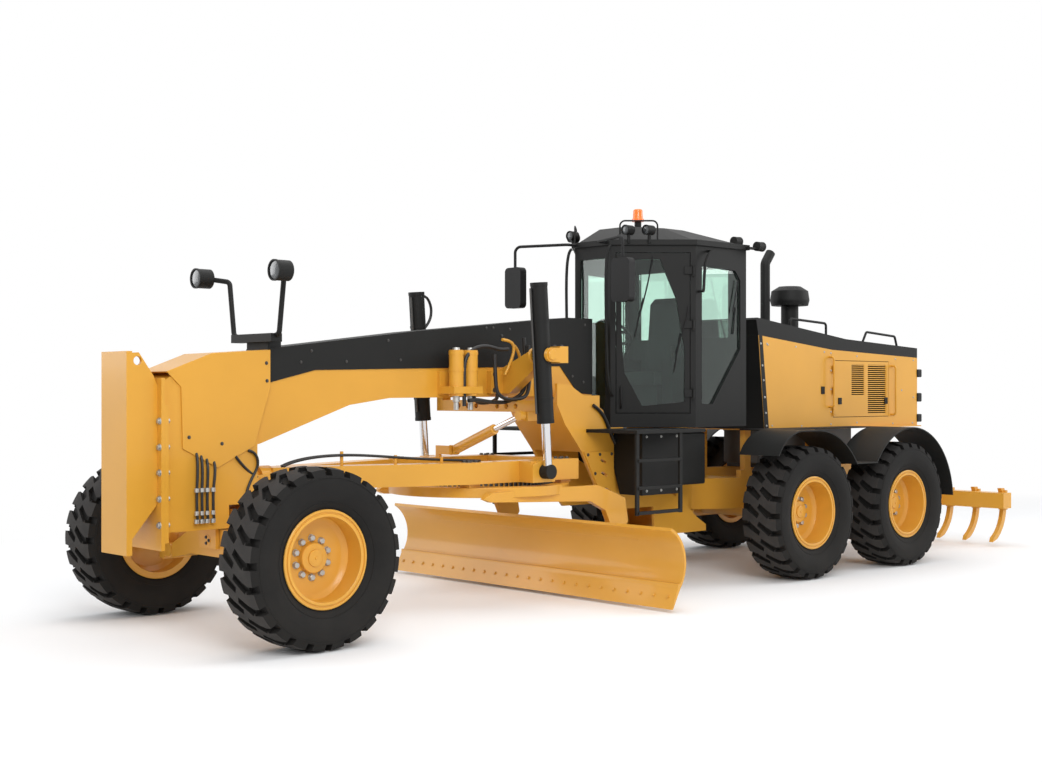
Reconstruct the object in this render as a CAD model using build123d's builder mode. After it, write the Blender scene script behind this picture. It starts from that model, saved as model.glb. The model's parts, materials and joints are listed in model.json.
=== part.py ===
from build123d import *
from math import atan2, cos, degrees, hypot, radians, sin, sqrt
import os

# A motor grader: front -Y, left side +X, up +Z, ground at Z = 0, all in millimetres.
# Side profiles are drawn on Plane.YZ as (distance behind the front axle, height),
# and placed by FRONT_AXLE_Y, which centres the whole machine on the origin.

# Wheels and stance
FRONT_AXLE_Y = -4521
WHEELBASE = 6559
TANDEM_PITCH = 1656
TRACK = 2330
TYRE_RADIUS = 645
TYRE_WIDTH = 450
AXLE_Z = TYRE_RADIUS
RUNNING_CLEARANCE = 0.3

# Rims: a deep dish with a flat disc, a hub drum and a domed cap
BEAD_RADIUS = 318
RIM_FLANGE_RADIUS = 352
RIM_HALF_WIDTH = 182
RIM_FLANGE_THICKNESS = 16
RIM_WALL = 18
LOCK_RING = (322, 334)
LOCK_RING_DEPTH = 9
DISC_THICKNESS = 24
FRONT_DISC_OFFSET = -31
REAR_DISC_OFFSET = -60
HUB_RADIUS = 118
HUB_LENGTH = 230
SPINDLE_RADIUS = 60
HUB_BORE_STEP = 15

# Front axle, lean yokes and steering
KINGPIN_X = 830
LEAN_PIVOT_X = 660
LEAN_PIVOT_Z = 565
KINGPIN_RADIUS = 40
KNUCKLE_RADIUS = 78
KNUCKLE_HEIGHT = 190
YOKE_BOSS_HEIGHT = 60
AXLE_BEAM_HALF_DEPTH = 110
STEER_ARM = 260
LEAN_BAR_Z = 905
LINK_THICKNESS = 44

# Gooseneck and main frame
BEAM_HALF_WIDTH = 150
HEAD_HALF_WIDTH = 190
HEAD_FRONT = -609
HEAD_REAR = 180
FRAME_PLATE_X = 330
FRAME_PLATE_THICKNESS = 30
HITCH_AFT = 5330
HITCH_PIN_RADIUS = 60
HITCH_LUG_RADIUS = 135
HITCH_LUG_THICKNESS = 60
HITCH_LOWER_Z = 560
HITCH_UPPER_Z = 940

# Push block at the nose
PUSH_FRONT = -912
PUSH_HALF_WIDTH = 190
PUSH_PLATE_THICKNESS = 45
PUSH_TOP_Z = 2108
PUSH_BOTTOM_Z = 643
FLANGE_HALF_WIDTH = 250
FLANGE_THICKNESS = 30
EYE_RADIUS = 32

# Drawbar, circle and blade
BALL_AFT = 270
BALL_Z = 1130
BALL_RADIUS = 75
SOCKET_RADIUS = 110
DRAWBAR_BOTTOM_Z = 1045
DRAWBAR_TOP_Z = 1225
CIRCLE_AFT = 2600
CIRCLE_RADIUS = 800
CIRCLE_BORE = 660
CIRCLE_TOP_Z = 1015
CIRCLE_THICKNESS = 85
BLADE_LENGTH = 3658
BLADE_BOTTOM_Z = 30
BLADE_HEIGHT = 645
BLADE_EDGE_AFT = 3090
BLADE_THICKNESS = 25
BLADE_PIVOT_AFT = 3375
BLADE_PIVOT_Z = 230
BLADE_ARM_X = 720
BLADE_ARM_THICKNESS = 60

# Lift cylinders and their yoke
LIFT_X = 820
LIFT_AFT = 2660
LIFT_EYE_Z = 1137
LIFT_TRUNNION_Z = 2127
LIFT_LEAN = 68
LIFT_BARREL_RADIUS = 72
LIFT_BARREL_ABOVE = 610
LIFT_BARREL_BELOW = 580
LIFT_ROD_RADIUS = 38
SHIFT_BASE_Z = 1290

# Cab
CAB_FRONT_AFT = 4045
CAB_FRONT_HALF = 235
CAB_CORNER_AFT = 4640
CAB_HALF_WIDTH = 780
CAB_REAR_AFT = 5400
CAB_FLOOR_Z = 1480
CAB_ROOF_Z = 3200
CAB_WALL = 60
CAB_GLASS = 6
BEACON_PLACE = (0, 4687)
BEACON_FOOT_Z = 3487

# Rear frame, hood and ripper
RAIL_X = 260
RAIL_THICKNESS = 60
RAIL_BOTTOM_Z = 740
RAIL_TOP_Z = 1010
REAR_FRAME_END = 8900
TANDEM_CASE_X = 700
TANDEM_CASE_THICKNESS = 200
HOOD_HALF_WIDTH = 640
HOOD_FRONT = 5870
HOOD_REAR = 8700
HOOD_BOTTOM_Z = 1434
HOOD_WALL = 10
FENDER_RADIUS = 789
FENDER_THICKNESS = 12
FENDER_IN = 930
FENDER_OUT = 1400
RIPPER_BEAM_HALF = 1150
SHANK_COUNT = 7
SHANK_PITCH = 345


def aft(distance):
    """Row-frame Y of a station measured behind the front axle."""
    return FRONT_AXLE_Y + distance


def prism(plane, outline, depth, both=False, mode=Mode.ADD):
    """A straight-edged outline drawn on a plane and extruded from it."""
    with BuildSketch(plane) as drawn:
        with BuildLine():
            Polyline(*outline, close=True)
        make_face()
    extrude(drawn.sketch, amount=depth, both=both, mode=mode)


def side_view(x):
    """A plane for side profiles: local x is the distance behind the front axle."""
    return Plane(origin=(x, FRONT_AXLE_Y, 0), x_dir=(0, 1, 0), z_dir=(1, 0, 0))


def top_view(z):
    """A plane for plan profiles: local (x, y) is (lateral, distance behind the front axle)."""
    return Plane(origin=(0, FRONT_AXLE_Y, z), x_dir=(1, 0, 0), z_dir=(0, 0, 1))


def front_view(distance):
    """A plane for cross-sections: local (x, y) is (lateral, height), extruded rearwards."""
    return Plane(origin=(0, aft(distance), 0), x_dir=(-1, 0, 0), z_dir=(0, 1, 0))


def block(x, y, z, mode=Mode.ADD):
    """An upright block from (low, high) pairs, y measured behind the front axle."""
    prism(top_view(z[0]), [(x[0], y[0]), (x[1], y[0]), (x[1], y[1]), (x[0], y[1])], z[1] - z[0], mode=mode)


def rod(start, end, radius, mode=Mode.ADD):
    """A round bar between two points (lateral, aft, height)."""
    a = Vector(start[0], aft(start[1]), start[2])
    b = Vector(end[0], aft(end[1]), end[2])
    with BuildSketch(Plane(origin=a, z_dir=(b - a).normalized())) as drawn:
        Circle(radius)
    extrude(drawn.sketch, amount=(b - a).length, mode=mode)


def pipe(points, radius, bend):
    """A bent tube through points (lateral, aft, height), with one bend radius."""
    stations = [Vector(x, aft(y), z) for x, y, z in points]
    with BuildLine() as path:
        if len(stations) > 2:
            FilletPolyline(*stations, radius=bend)
        else:
            Line(*stations)
    with BuildSketch(Plane(origin=path.line @ 0, z_dir=path.line % 0)) as drawn:
        Circle(radius)
    sweep(drawn.sketch, path=path.line)


def turned(origin, outward, outline, mode=Mode.ADD):
    """An outline of (along, radius) points turned about an axis from origin."""
    axis_dir = Vector(*outward)
    up = Vector(0, 0, 1) if abs(axis_dir.Z) < 0.5 else Vector(0, 1, 0)
    with BuildSketch(Plane(origin=origin, x_dir=axis_dir, z_dir=axis_dir.cross(up))) as drawn:
        with BuildLine():
            Polyline(*outline, close=True)
        make_face()
    revolve(drawn.sketch, axis=Axis(origin, axis_dir), mode=mode)


def save(piece, name):
    """Label a finished piece and write its file."""
    piece.part.label = name
    export_step(piece.part, f"parts/{name}.step")


os.makedirs("parts", exist_ok=True)
SIDES = (("left", 1), ("right", -1))

# Wheels: name, distance behind the front axle, disc offset from the tyre's centre plane
WHEELS = (
    ("front", 0, FRONT_DISC_OFFSET),
    ("middle", WHEELBASE - TANDEM_PITCH / 2, REAR_DISC_OFFSET),
    ("rear", WHEELBASE + TANDEM_PITCH / 2, REAR_DISC_OFFSET),
)
TREAD_HALF = TYRE_WIDTH / 2 - 28
SHOULDER_RADIUS = TYRE_RADIUS - 22
SIDEWALL_RADIUS = 480
BULGE = TYRE_WIDTH / 2
FLANGE_INSIDE = RIM_HALF_WIDTH - RIM_FLANGE_THICKNESS
LUGS_A_SIDE = 24
# Each slot between two lugs: a short leg across the shoulder, then a slanting one to the middle,
# as (floor radius, outline of (across the tread, along it))
TREAD_SLOT = (
    (TYRE_RADIUS - 58, [(125, -27), (BULGE + 10, -27), (BULGE + 10, 27), (125, 27)]),
    (TYRE_RADIUS - 34, [(150, 27), (108, -27), (-14, 68), (10, 112)]),
)

with BuildPart() as slot:
    for floor, outline in TREAD_SLOT:
        prism(Plane(origin=(0, 0, floor)), outline, 90)
with BuildPart() as tread_tyre:
    with BuildSketch(Plane(origin=(0, 0, 0), x_dir=(1, 0, 0), z_dir=(0, -1, 0))):
        with BuildLine():
            bead = (FLANGE_INSIDE - RUNNING_CLEARANCE, BEAD_RADIUS + RUNNING_CLEARANCE)
            lip = (FLANGE_INSIDE - RUNNING_CLEARANCE, RIM_FLANGE_RADIUS + 6)
            shoulder = (BULGE - 6, SHOULDER_RADIUS - 40)
            Polyline((-bead[0], bead[1]), bead, lip)
            ThreePointArc(lip, (BULGE, SIDEWALL_RADIUS), shoulder)
            Polyline(shoulder, (TREAD_HALF, SHOULDER_RADIUS + 8), (TREAD_HALF / 2, TYRE_RADIUS),
                     (-TREAD_HALF / 2, TYRE_RADIUS), (-TREAD_HALF, SHOULDER_RADIUS + 8), (-shoulder[0], shoulder[1]))
            ThreePointArc((-shoulder[0], shoulder[1]), (-BULGE, SIDEWALL_RADIUS), (-lip[0], lip[1]))
            Line((-lip[0], lip[1]), (-bead[0], bead[1]))
        make_face()
    revolve(axis=Axis.X)
    pitch = 360 / LUGS_A_SIDE
    for number in range(LUGS_A_SIDE):
        for turn, half in ((0, 0), (180, 0.5)):
            add(slot.part.rotate(Axis.Z, turn).rotate(Axis.X, (number + half) * pitch), mode=Mode.SUBTRACT)

for wheel, station, disc in WHEELS:
    for side_name, side in SIDES:
        centre = Vector(side * TRACK / 2, aft(station), AXLE_Z)

        with BuildPart() as tyre:
            add(tread_tyre.part.moved(Location(centre)))
        save(tyre, f"tyre_{wheel}_{side_name}")

        with BuildPart() as rim:
            inner = BEAD_RADIUS - RIM_WALL
            edge = RIM_HALF_WIDTH
            turned(centre, (side, 0, 0), [
                (-edge, inner), (-edge, RIM_FLANGE_RADIUS), (-FLANGE_INSIDE, RIM_FLANGE_RADIUS),
                (-FLANGE_INSIDE, BEAD_RADIUS), (FLANGE_INSIDE, BEAD_RADIUS),
                (FLANGE_INSIDE, RIM_FLANGE_RADIUS), (edge, RIM_FLANGE_RADIUS), (edge, LOCK_RING[1]),
                (edge - LOCK_RING_DEPTH, LOCK_RING[1]), (edge - LOCK_RING_DEPTH, LOCK_RING[0]), (edge, LOCK_RING[0]), (edge, inner),
                (disc + DISC_THICKNESS + 30, inner), (disc + DISC_THICKNESS, inner - 40),
                (disc + DISC_THICKNESS, HUB_RADIUS), (disc + 70, HUB_RADIUS - 14),
                (disc + 78, 60), (disc + 92, 0), (disc - HUB_BORE_STEP, 0),
                (disc - HUB_BORE_STEP, SPINDLE_RADIUS + RUNNING_CLEARANCE),
                (disc - HUB_LENGTH + 60, SPINDLE_RADIUS + RUNNING_CLEARANCE),
                (disc - HUB_LENGTH + 60, HUB_RADIUS - 20), (disc, HUB_RADIUS), (disc, inner - 40),
                (disc - 30, inner),
            ])
        save(rim, f"rim_{wheel}_{side_name}")


# Front axle: a bowed beam under the frame head, on a fore-aft pin, with an eye for each yoke
PIN_Z = 690
PIN_RADIUS = 45
LUG_RADIUS = 55
LUG_HALF_DEPTH = 60
BEAM_END = LEAN_PIVOT_X - LUG_RADIUS - 15
BEAM_TOP_Z = 780
LEAN_PIN_RADIUS = 30
OSCILLATION_LUG = 28

with BuildPart() as front_axle:
    prism(front_view(-AXLE_BEAM_HALF_DEPTH), [
        (-BEAM_END, LEAN_PIVOT_Z - 55), (-300, LEAN_PIVOT_Z), (300, LEAN_PIVOT_Z), (BEAM_END, LEAN_PIVOT_Z - 55),
        (BEAM_END, LEAN_PIVOT_Z + 55), (250, BEAM_TOP_Z), (-250, BEAM_TOP_Z), (-BEAM_END, LEAN_PIVOT_Z + 55),
    ], 2 * AXLE_BEAM_HALF_DEPTH)
    for side in (1, -1):
        block(sorted((side * (BEAM_END - 5), side * LEAN_PIVOT_X)), (-LUG_HALF_DEPTH, LUG_HALF_DEPTH),
              (LEAN_PIVOT_Z - LUG_RADIUS, LEAN_PIVOT_Z + LUG_RADIUS))
        rod((side * LEAN_PIVOT_X, -LUG_HALF_DEPTH, LEAN_PIVOT_Z), (side * LEAN_PIVOT_X, LUG_HALF_DEPTH, LEAN_PIVOT_Z),
            LUG_RADIUS)
    reach = AXLE_BEAM_HALF_DEPTH + 5 + OSCILLATION_LUG + 2
    rod((0, -reach, PIN_Z), (0, reach, PIN_Z), PIN_RADIUS)
    for side in (1, -1):
        rod((side * LEAN_PIVOT_X, -LUG_HALF_DEPTH - 1, LEAN_PIVOT_Z), (side * LEAN_PIVOT_X, LUG_HALF_DEPTH + 1, LEAN_PIVOT_Z),
            LEAN_PIN_RADIUS + RUNNING_CLEARANCE, mode=Mode.SUBTRACT)
save(front_axle, "front_axle")

# Lean yokes: a fork on the axle eye, an upright web and two bosses that hold the kingpin
FORK_GAP = 5
FORK_PLATE = 40
WEB_IN = LEAN_PIVOT_X + LUG_RADIUS + FORK_GAP
WEB_OUT = KINGPIN_X - KNUCKLE_RADIUS - FORK_GAP
WEB_HALF = LUG_HALF_DEPTH + FORK_GAP + FORK_PLATE
BOSS_IN = KNUCKLE_HEIGHT / 2 + FORK_GAP
BOSS_OUT = BOSS_IN + YOKE_BOSS_HEIGHT
EAR_RADIUS = 38
EAR_PIN = 20
TIE_Z = LEAN_PIVOT_Z + LUG_RADIUS + 10
ARM_THICKNESS = 34
ARM_SLOT = 15

with BuildPart() as yoke:
    block((WEB_IN, WEB_OUT), (-WEB_HALF, WEB_HALF), (AXLE_Z - BOSS_OUT, LEAN_BAR_Z - 60))
    block((WEB_IN - 1, WEB_OUT + 1), (ARM_SLOT, WEB_HALF + 1), (TIE_Z - 8, TIE_Z + ARM_THICKNESS + 8), mode=Mode.SUBTRACT)
    for low, high in ((BOSS_IN, BOSS_OUT), (-BOSS_OUT, -BOSS_IN)):
        block((WEB_IN, KINGPIN_X), (-KNUCKLE_RADIUS, KNUCKLE_RADIUS), (AXLE_Z + low, AXLE_Z + high))
        rod((KINGPIN_X, 0, AXLE_Z + low), (KINGPIN_X, 0, AXLE_Z + high), KNUCKLE_RADIUS)
    for near in (-WEB_HALF, WEB_HALF - FORK_PLATE):
        block((LEAN_PIVOT_X, WEB_IN + 1), (near, near + FORK_PLATE), (LEAN_PIVOT_Z - LUG_RADIUS, LEAN_PIVOT_Z + LUG_RADIUS))
        rod((LEAN_PIVOT_X, near, LEAN_PIVOT_Z), (LEAN_PIVOT_X, near + FORK_PLATE, LEAN_PIVOT_Z), LUG_RADIUS)
    rod((LEAN_PIVOT_X, -WEB_HALF - 2, LEAN_PIVOT_Z), (LEAN_PIVOT_X, WEB_HALF + 2, LEAN_PIVOT_Z), LEAN_PIN_RADIUS)
    rod((KINGPIN_X, 0, AXLE_Z - BOSS_OUT - 10), (KINGPIN_X, 0, AXLE_Z + BOSS_OUT + 10), KINGPIN_RADIUS)
    prism(front_view(LINK_THICKNESS / 2 + 5), [
        (-WEB_OUT, LEAN_BAR_Z - 140), (-WEB_OUT, LEAN_BAR_Z - 60), (-LEAN_PIVOT_X, LEAN_BAR_Z + EAR_RADIUS),
        (-LEAN_PIVOT_X, LEAN_BAR_Z - EAR_RADIUS), (-WEB_IN, LEAN_BAR_Z - 140),
    ], WEB_HALF - LINK_THICKNESS / 2 - 5)
    rod((LEAN_PIVOT_X, LINK_THICKNESS / 2 + 5, LEAN_BAR_Z), (LEAN_PIVOT_X, WEB_HALF, LEAN_BAR_Z), EAR_RADIUS)
    rod((LEAN_PIVOT_X, LINK_THICKNESS / 2, LEAN_BAR_Z), (LEAN_PIVOT_X, WEB_HALF + 5, LEAN_BAR_Z),
        EAR_PIN + RUNNING_CLEARANCE, mode=Mode.SUBTRACT)
save(yoke, "axle_yoke_left")
with BuildPart() as yoke_right:
    mirror(yoke.part, about=Plane.YZ)
save(yoke_right, "axle_yoke_right")

# Lean bar: one flat link between the two yoke ears, with its pins
with BuildPart() as lean_bar:
    block((-LEAN_PIVOT_X, LEAN_PIVOT_X), (-LINK_THICKNESS / 2, LINK_THICKNESS / 2), (LEAN_BAR_Z - 22, LEAN_BAR_Z + 22))
    for side in (1, -1):
        rod((side * LEAN_PIVOT_X, -LINK_THICKNESS / 2, LEAN_BAR_Z), (side * LEAN_PIVOT_X, LINK_THICKNESS / 2, LEAN_BAR_Z),
            EAR_RADIUS)
        rod((side * LEAN_PIVOT_X, 0, LEAN_BAR_Z), (side * LEAN_PIVOT_X, WEB_HALF + 10, LEAN_BAR_Z), EAR_PIN)
save(lean_bar, "lean_bar")

# Knuckles: a boss on the kingpin, the wheel spindle, and a steering arm that points back
TIE_RADIUS = 32
STUD_RADIUS = 16

with BuildPart() as knuckle:
    rod((KINGPIN_X, 0, AXLE_Z - KNUCKLE_HEIGHT / 2), (KINGPIN_X, 0, AXLE_Z + KNUCKLE_HEIGHT / 2), KNUCKLE_RADIUS)
    rod((KINGPIN_X, 0, AXLE_Z), (TRACK / 2 + FRONT_DISC_OFFSET - HUB_BORE_STEP - 5, 0, AXLE_Z), SPINDLE_RADIUS)
    block((KINGPIN_X - 35, KINGPIN_X + 35), (0, STEER_ARM), (TIE_Z, TIE_Z + ARM_THICKNESS))
    rod((KINGPIN_X, STEER_ARM, TIE_Z), (KINGPIN_X, STEER_ARM, TIE_Z + ARM_THICKNESS), 35)
    rod((KINGPIN_X, 0, AXLE_Z - KNUCKLE_HEIGHT), (KINGPIN_X, 0, AXLE_Z + KNUCKLE_HEIGHT),
        KINGPIN_RADIUS + RUNNING_CLEARANCE, mode=Mode.SUBTRACT)
    rod((KINGPIN_X, STEER_ARM, TIE_Z - 5), (KINGPIN_X, STEER_ARM, TIE_Z + ARM_THICKNESS + 5),
        STUD_RADIUS + RUNNING_CLEARANCE, mode=Mode.SUBTRACT)
save(knuckle, "knuckle_left")
with BuildPart() as knuckle_right:
    mirror(knuckle.part, about=Plane.YZ)
save(knuckle_right, "knuckle_right")

# Tie rod end: an upright stud in the left steering arm with a cross pin for the tie rod
TIE_ROD_Z = TIE_Z - 45
with BuildPart() as tie_rod_end:
    rod((KINGPIN_X, STEER_ARM, TIE_ROD_Z), (KINGPIN_X, STEER_ARM, TIE_Z + ARM_THICKNESS + 10), STUD_RADIUS)
    rod((KINGPIN_X, STEER_ARM, TIE_ROD_Z - 24), (KINGPIN_X, STEER_ARM, TIE_ROD_Z + 24), 26)
    rod((KINGPIN_X, STEER_ARM - 52, TIE_ROD_Z), (KINGPIN_X, STEER_ARM + 52, TIE_ROD_Z), 10)
save(tie_rod_end, "tie_rod_end")

# Tie rod: a round bar with a fork over the left stud and a ball eye under the right arm
FORK_REACH = 60
with BuildPart() as tie_rod:
    rod((KINGPIN_X - FORK_REACH, STEER_ARM, TIE_ROD_Z), (-KINGPIN_X, STEER_ARM, TIE_ROD_Z), 22)
    for step in (-45, 31):
        block((KINGPIN_X - FORK_REACH - 10, KINGPIN_X + 20), (STEER_ARM + step, STEER_ARM + step + 14),
              (TIE_ROD_Z - 20, TIE_ROD_Z + 20))
    block((KINGPIN_X - FORK_REACH - 10, KINGPIN_X - FORK_REACH + 15), (STEER_ARM - 45, STEER_ARM + 45),
          (TIE_ROD_Z - 20, TIE_ROD_Z + 20))
    rod((KINGPIN_X, STEER_ARM - 60, TIE_ROD_Z), (KINGPIN_X, STEER_ARM + 60, TIE_ROD_Z), 10 + RUNNING_CLEARANCE,
        mode=Mode.SUBTRACT)
    rod((-KINGPIN_X, STEER_ARM, TIE_ROD_Z - 24), (-KINGPIN_X, STEER_ARM, TIE_ROD_Z + 20), TIE_RADIUS)
save(tie_rod, "tie_rod")

# Main frame: head box on the axle pin, gooseneck beam, throat, side plates and hitch lugs
COVER_WALL = 8
NECK_BOTTOM = [(-200, 1300), (242, 1422), (1076, 1709), (1483, 1764), (3880, 1777)]
COVER_TOP = [(300, 2150), (1760, 2325), (3560, 2500), (3880, 2500)]
COVER_BOTTOM = [(3880, 1790), (3690, 1800), (3456, 2050), (2245, 2020), (1588, 2005), (734, 1988), (320, 1890), (300, 1880)]
NECK_TOP = [(y, z - COVER_WALL) for y, z in reversed(COVER_TOP)] + [(290, 2100), (-200, 2040)]
SWEEP_Z = BLADE_BOTTOM_Z + BLADE_HEIGHT + BLADE_THICKNESS + 12
SWEEP_END = CIRCLE_AFT + 1945
FRAME_PLATE = [
    (3250, 1890), (3411, 1877), (3844, 1645), (3935, 1480), (4120, 1480), (4160, 1150), (4283, 1091), (4640, 904),
    (4979, 741), (5176, 582), (5330, 493), (5330, 430), (SWEEP_END + 20, 430), (SWEEP_END, SWEEP_Z), (3951, SWEEP_Z),
    (3764, 924), (3566, 1263), (3347, 1523), (3250, 1700),
]
THROAT = [(3250, 1780), (3250, 1700), (3347, 1523), (3566, 1263), (3800, 1263), (3800, 1780)]
DOUBLER = 12
DOUBLER_SIDE = [(3584, 1262), (3980, 1262), (3980, SWEEP_Z + 5), (3957, SWEEP_Z + 5), (3772, 926)]
DOUBLER_SLOTS = ((3840, 1170), (3850, 1050), (3900, 900))
HEAD_BOTTOM_Z = 790
BALL_PIN = 28
CHEEK_OUT = 118
HEAD_TOP_Z = 2030
TOWER = (4880, 5060)
WINDOW = (70, 60)

with BuildPart() as front_frame:
    prism(side_view(-HEAD_HALF_WIDTH), [
        (HEAD_FRONT, HEAD_BOTTOM_Z), (HEAD_REAR, HEAD_BOTTOM_Z), (HEAD_REAR, HEAD_TOP_Z), (-300, HEAD_TOP_Z),
        (-560, HEAD_TOP_Z - 100), (HEAD_FRONT, HEAD_TOP_Z - 130),
    ], 2 * HEAD_HALF_WIDTH)
    block((-HEAD_HALF_WIDTH - 5, HEAD_HALF_WIDTH + 5), (-WINDOW[0], WINDOW[0]),
          (LEAN_BAR_Z - WINDOW[1], LEAN_BAR_Z + WINDOW[1]), mode=Mode.SUBTRACT)
    block((-FLANGE_HALF_WIDTH, FLANGE_HALF_WIDTH), (HEAD_FRONT - FLANGE_THICKNESS, HEAD_FRONT), (720, 1720))
    for near in (-AXLE_BEAM_HALF_DEPTH - 5 - OSCILLATION_LUG, AXLE_BEAM_HALF_DEPTH + 5):
        block((-120, 120), (near, near + OSCILLATION_LUG), (PIN_Z - 60, HEAD_BOTTOM_Z))
    rod((0, -200, PIN_Z), (0, 200, PIN_Z), PIN_RADIUS + RUNNING_CLEARANCE, mode=Mode.SUBTRACT)
    prism(side_view(-BEAM_HALF_WIDTH), NECK_BOTTOM + NECK_TOP, 2 * BEAM_HALF_WIDTH)
    prism(side_view(-FRAME_PLATE_X), THROAT, 2 * FRAME_PLATE_X)
    for low in (-FRAME_PLATE_X, FRAME_PLATE_X - FRAME_PLATE_THICKNESS):
        prism(side_view(low), FRAME_PLATE, FRAME_PLATE_THICKNESS)
    for low in (-FRAME_PLATE_X - DOUBLER, FRAME_PLATE_X):
        prism(side_view(low), DOUBLER_SIDE, DOUBLER)
    for y, z in DOUBLER_SLOTS:
        with BuildSketch(side_view(-FRAME_PLATE_X - 50)) as plate_slot:
            with Locations(Location((y, z, 0), (0, 0, -25))):
                SlotOverall(85, 24)
        extrude(plate_slot.sketch, amount=2 * FRAME_PLATE_X + 100, mode=Mode.SUBTRACT)
    block((-FRAME_PLATE_X + 1, FRAME_PLATE_X - 1), TOWER, (430, CAB_FLOOR_Z))
    block((-FRAME_PLATE_X + 1, FRAME_PLATE_X - 1), (SWEEP_END + 20, TOWER[0]), (430, 460))
    for z in (HITCH_LOWER_Z, HITCH_UPPER_Z):
        block((-HITCH_LUG_RADIUS, HITCH_LUG_RADIUS), (TOWER[1] - 5, HITCH_AFT), (z, z + HITCH_LUG_THICKNESS))
        rod((0, HITCH_AFT, z), (0, HITCH_AFT, z + HITCH_LUG_THICKNESS), HITCH_LUG_RADIUS)
    rod((0, HITCH_AFT, 400), (0, HITCH_AFT, 1100), HITCH_PIN_RADIUS + RUNNING_CLEARANCE, mode=Mode.SUBTRACT)
    rod((0, HEAD_REAR - 5, BALL_Z), (0, BALL_AFT, BALL_Z), BALL_RADIUS * 0.6)
    with Locations((0, aft(BALL_AFT), BALL_Z)):
        Sphere(BALL_RADIUS)
    rod((-CHEEK_OUT - 6, BALL_AFT, BALL_Z), (CHEEK_OUT + 6, BALL_AFT, BALL_Z), BALL_PIN)
save(front_frame, "front_frame")

# Shroud over the frame head: sloping plates folded down both sides to a point
SHROUD_WALL = 12
SHROUD_HALF_WIDTH = HEAD_HALF_WIDTH + SHROUD_WALL
SHROUD_SIDE = [
    (-600, 1965), (-480, 1850), (-467, 1397), (-173, 1247), (150, 1403), (200, 1560), (290, 1850), (290, 2140), (-224, 2105),
]
SHROUD_ROOF = [(-600, 1965), (-224, 2105), (290, 2140), (290, 2140 - SHROUD_WALL), (-224, 2105 - SHROUD_WALL),
               (-575, 1965 - SHROUD_WALL)]
with BuildPart() as head_shroud:
    for low in (-SHROUD_HALF_WIDTH, SHROUD_HALF_WIDTH - SHROUD_WALL):
        prism(side_view(low), SHROUD_SIDE, SHROUD_WALL)
    prism(side_view(-SHROUD_HALF_WIDTH), SHROUD_ROOF, 2 * SHROUD_HALF_WIDTH)
save(head_shroud, "head_shroud")

# Top cover: a folded sheet over the gooseneck, with the light bar standing on its front end
LIGHT_FOOT = 300
BAR_HALF = 284
BAR_Z_RANGE = (2200, 2265)
LAMP_RADIUS = 78
LAMP_PLACE = (560, 152, 2720)
STALK = ((240, 290, 2240), (320, 290, 2262), (385, 290, 2690))
with BuildPart() as top_cover:
    outer = BEAM_HALF_WIDTH + COVER_WALL
    prism(side_view(-outer), COVER_BOTTOM + COVER_TOP, 2 * outer)
    prism(side_view(-BEAM_HALF_WIDTH), [(300, 1500)] + [(y, z - COVER_WALL) for y, z in COVER_TOP] + [(3880, 1500)],
          2 * BEAM_HALF_WIDTH, mode=Mode.SUBTRACT)
    block((-150, 150), (LIGHT_FOOT, LIGHT_FOOT + 120), (2140, BAR_Z_RANGE[0] + 5))
    block((-BAR_HALF, BAR_HALF), (LIGHT_FOOT - 60, LIGHT_FOOT + 40), BAR_Z_RANGE)
    for side in (1, -1):
        x, y, z = side * LAMP_PLACE[0], LAMP_PLACE[1], LAMP_PLACE[2]
        pipe([(side * sx, sy, sz) for sx, sy, sz in STALK] + [(x, y + 40, z)], 20, 40)
        rod((x, y - 60, z), (x, y + 60, z), LAMP_RADIUS)
    prism(side_view(-BEAM_HALF_WIDTH), [(300, 1500)] + [(y, z - COVER_WALL) for y, z in COVER_TOP] + [(3880, 1500)],
          2 * BEAM_HALF_WIDTH, mode=Mode.SUBTRACT)
save(top_cover, "top_cover")

# Push block: a thick front plate on two gusset plates, with lifting eyes and a bolting flange
PUSH_WEB = [(-890, 2095), (-815, 2100), (-700, 1935), (-669, 1865), (-669, 1000), (-880, 745)]
PUSH_WEB_THICKNESS = 30
LIFTING_EYE = (-825, 2040)
with BuildPart() as push_block:
    block((-PUSH_HALF_WIDTH, PUSH_HALF_WIDTH), (PUSH_FRONT, PUSH_FRONT + PUSH_PLATE_THICKNESS), (PUSH_BOTTOM_Z, PUSH_TOP_Z))
    for low in (-PUSH_HALF_WIDTH, PUSH_HALF_WIDTH - PUSH_WEB_THICKNESS):
        prism(side_view(low), PUSH_WEB, PUSH_WEB_THICKNESS)
    block((-FLANGE_HALF_WIDTH, FLANGE_HALF_WIDTH), (-669, HEAD_FRONT - FLANGE_THICKNESS), (666, 1916))
    rod((-300, *LIFTING_EYE), (300, *LIFTING_EYE), EYE_RADIUS, mode=Mode.SUBTRACT)
save(push_block, "push_block")

# Drawbar: an open A-frame from the ball to four circle shoes, with cylinder plates outboard
DRAWBAR_OUTER = [(-100, BALL_AFT + 110), (100, BALL_AFT + 110), (600, 2000), (600, 3250), (-600, 3250), (-600, 2000)]
DRAWBAR_INNER = [(0, 760), (430, 2000), (430, 3080), (-430, 3080), (-430, 2000)]
SHOE_GAP = RUNNING_CLEARANCE
SHOE_RADIUS = 730
EYE_HALF = 45
EYE_OUTER = 62
LIFT_PLATE = 25
LIFT_PIN = 26

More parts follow.
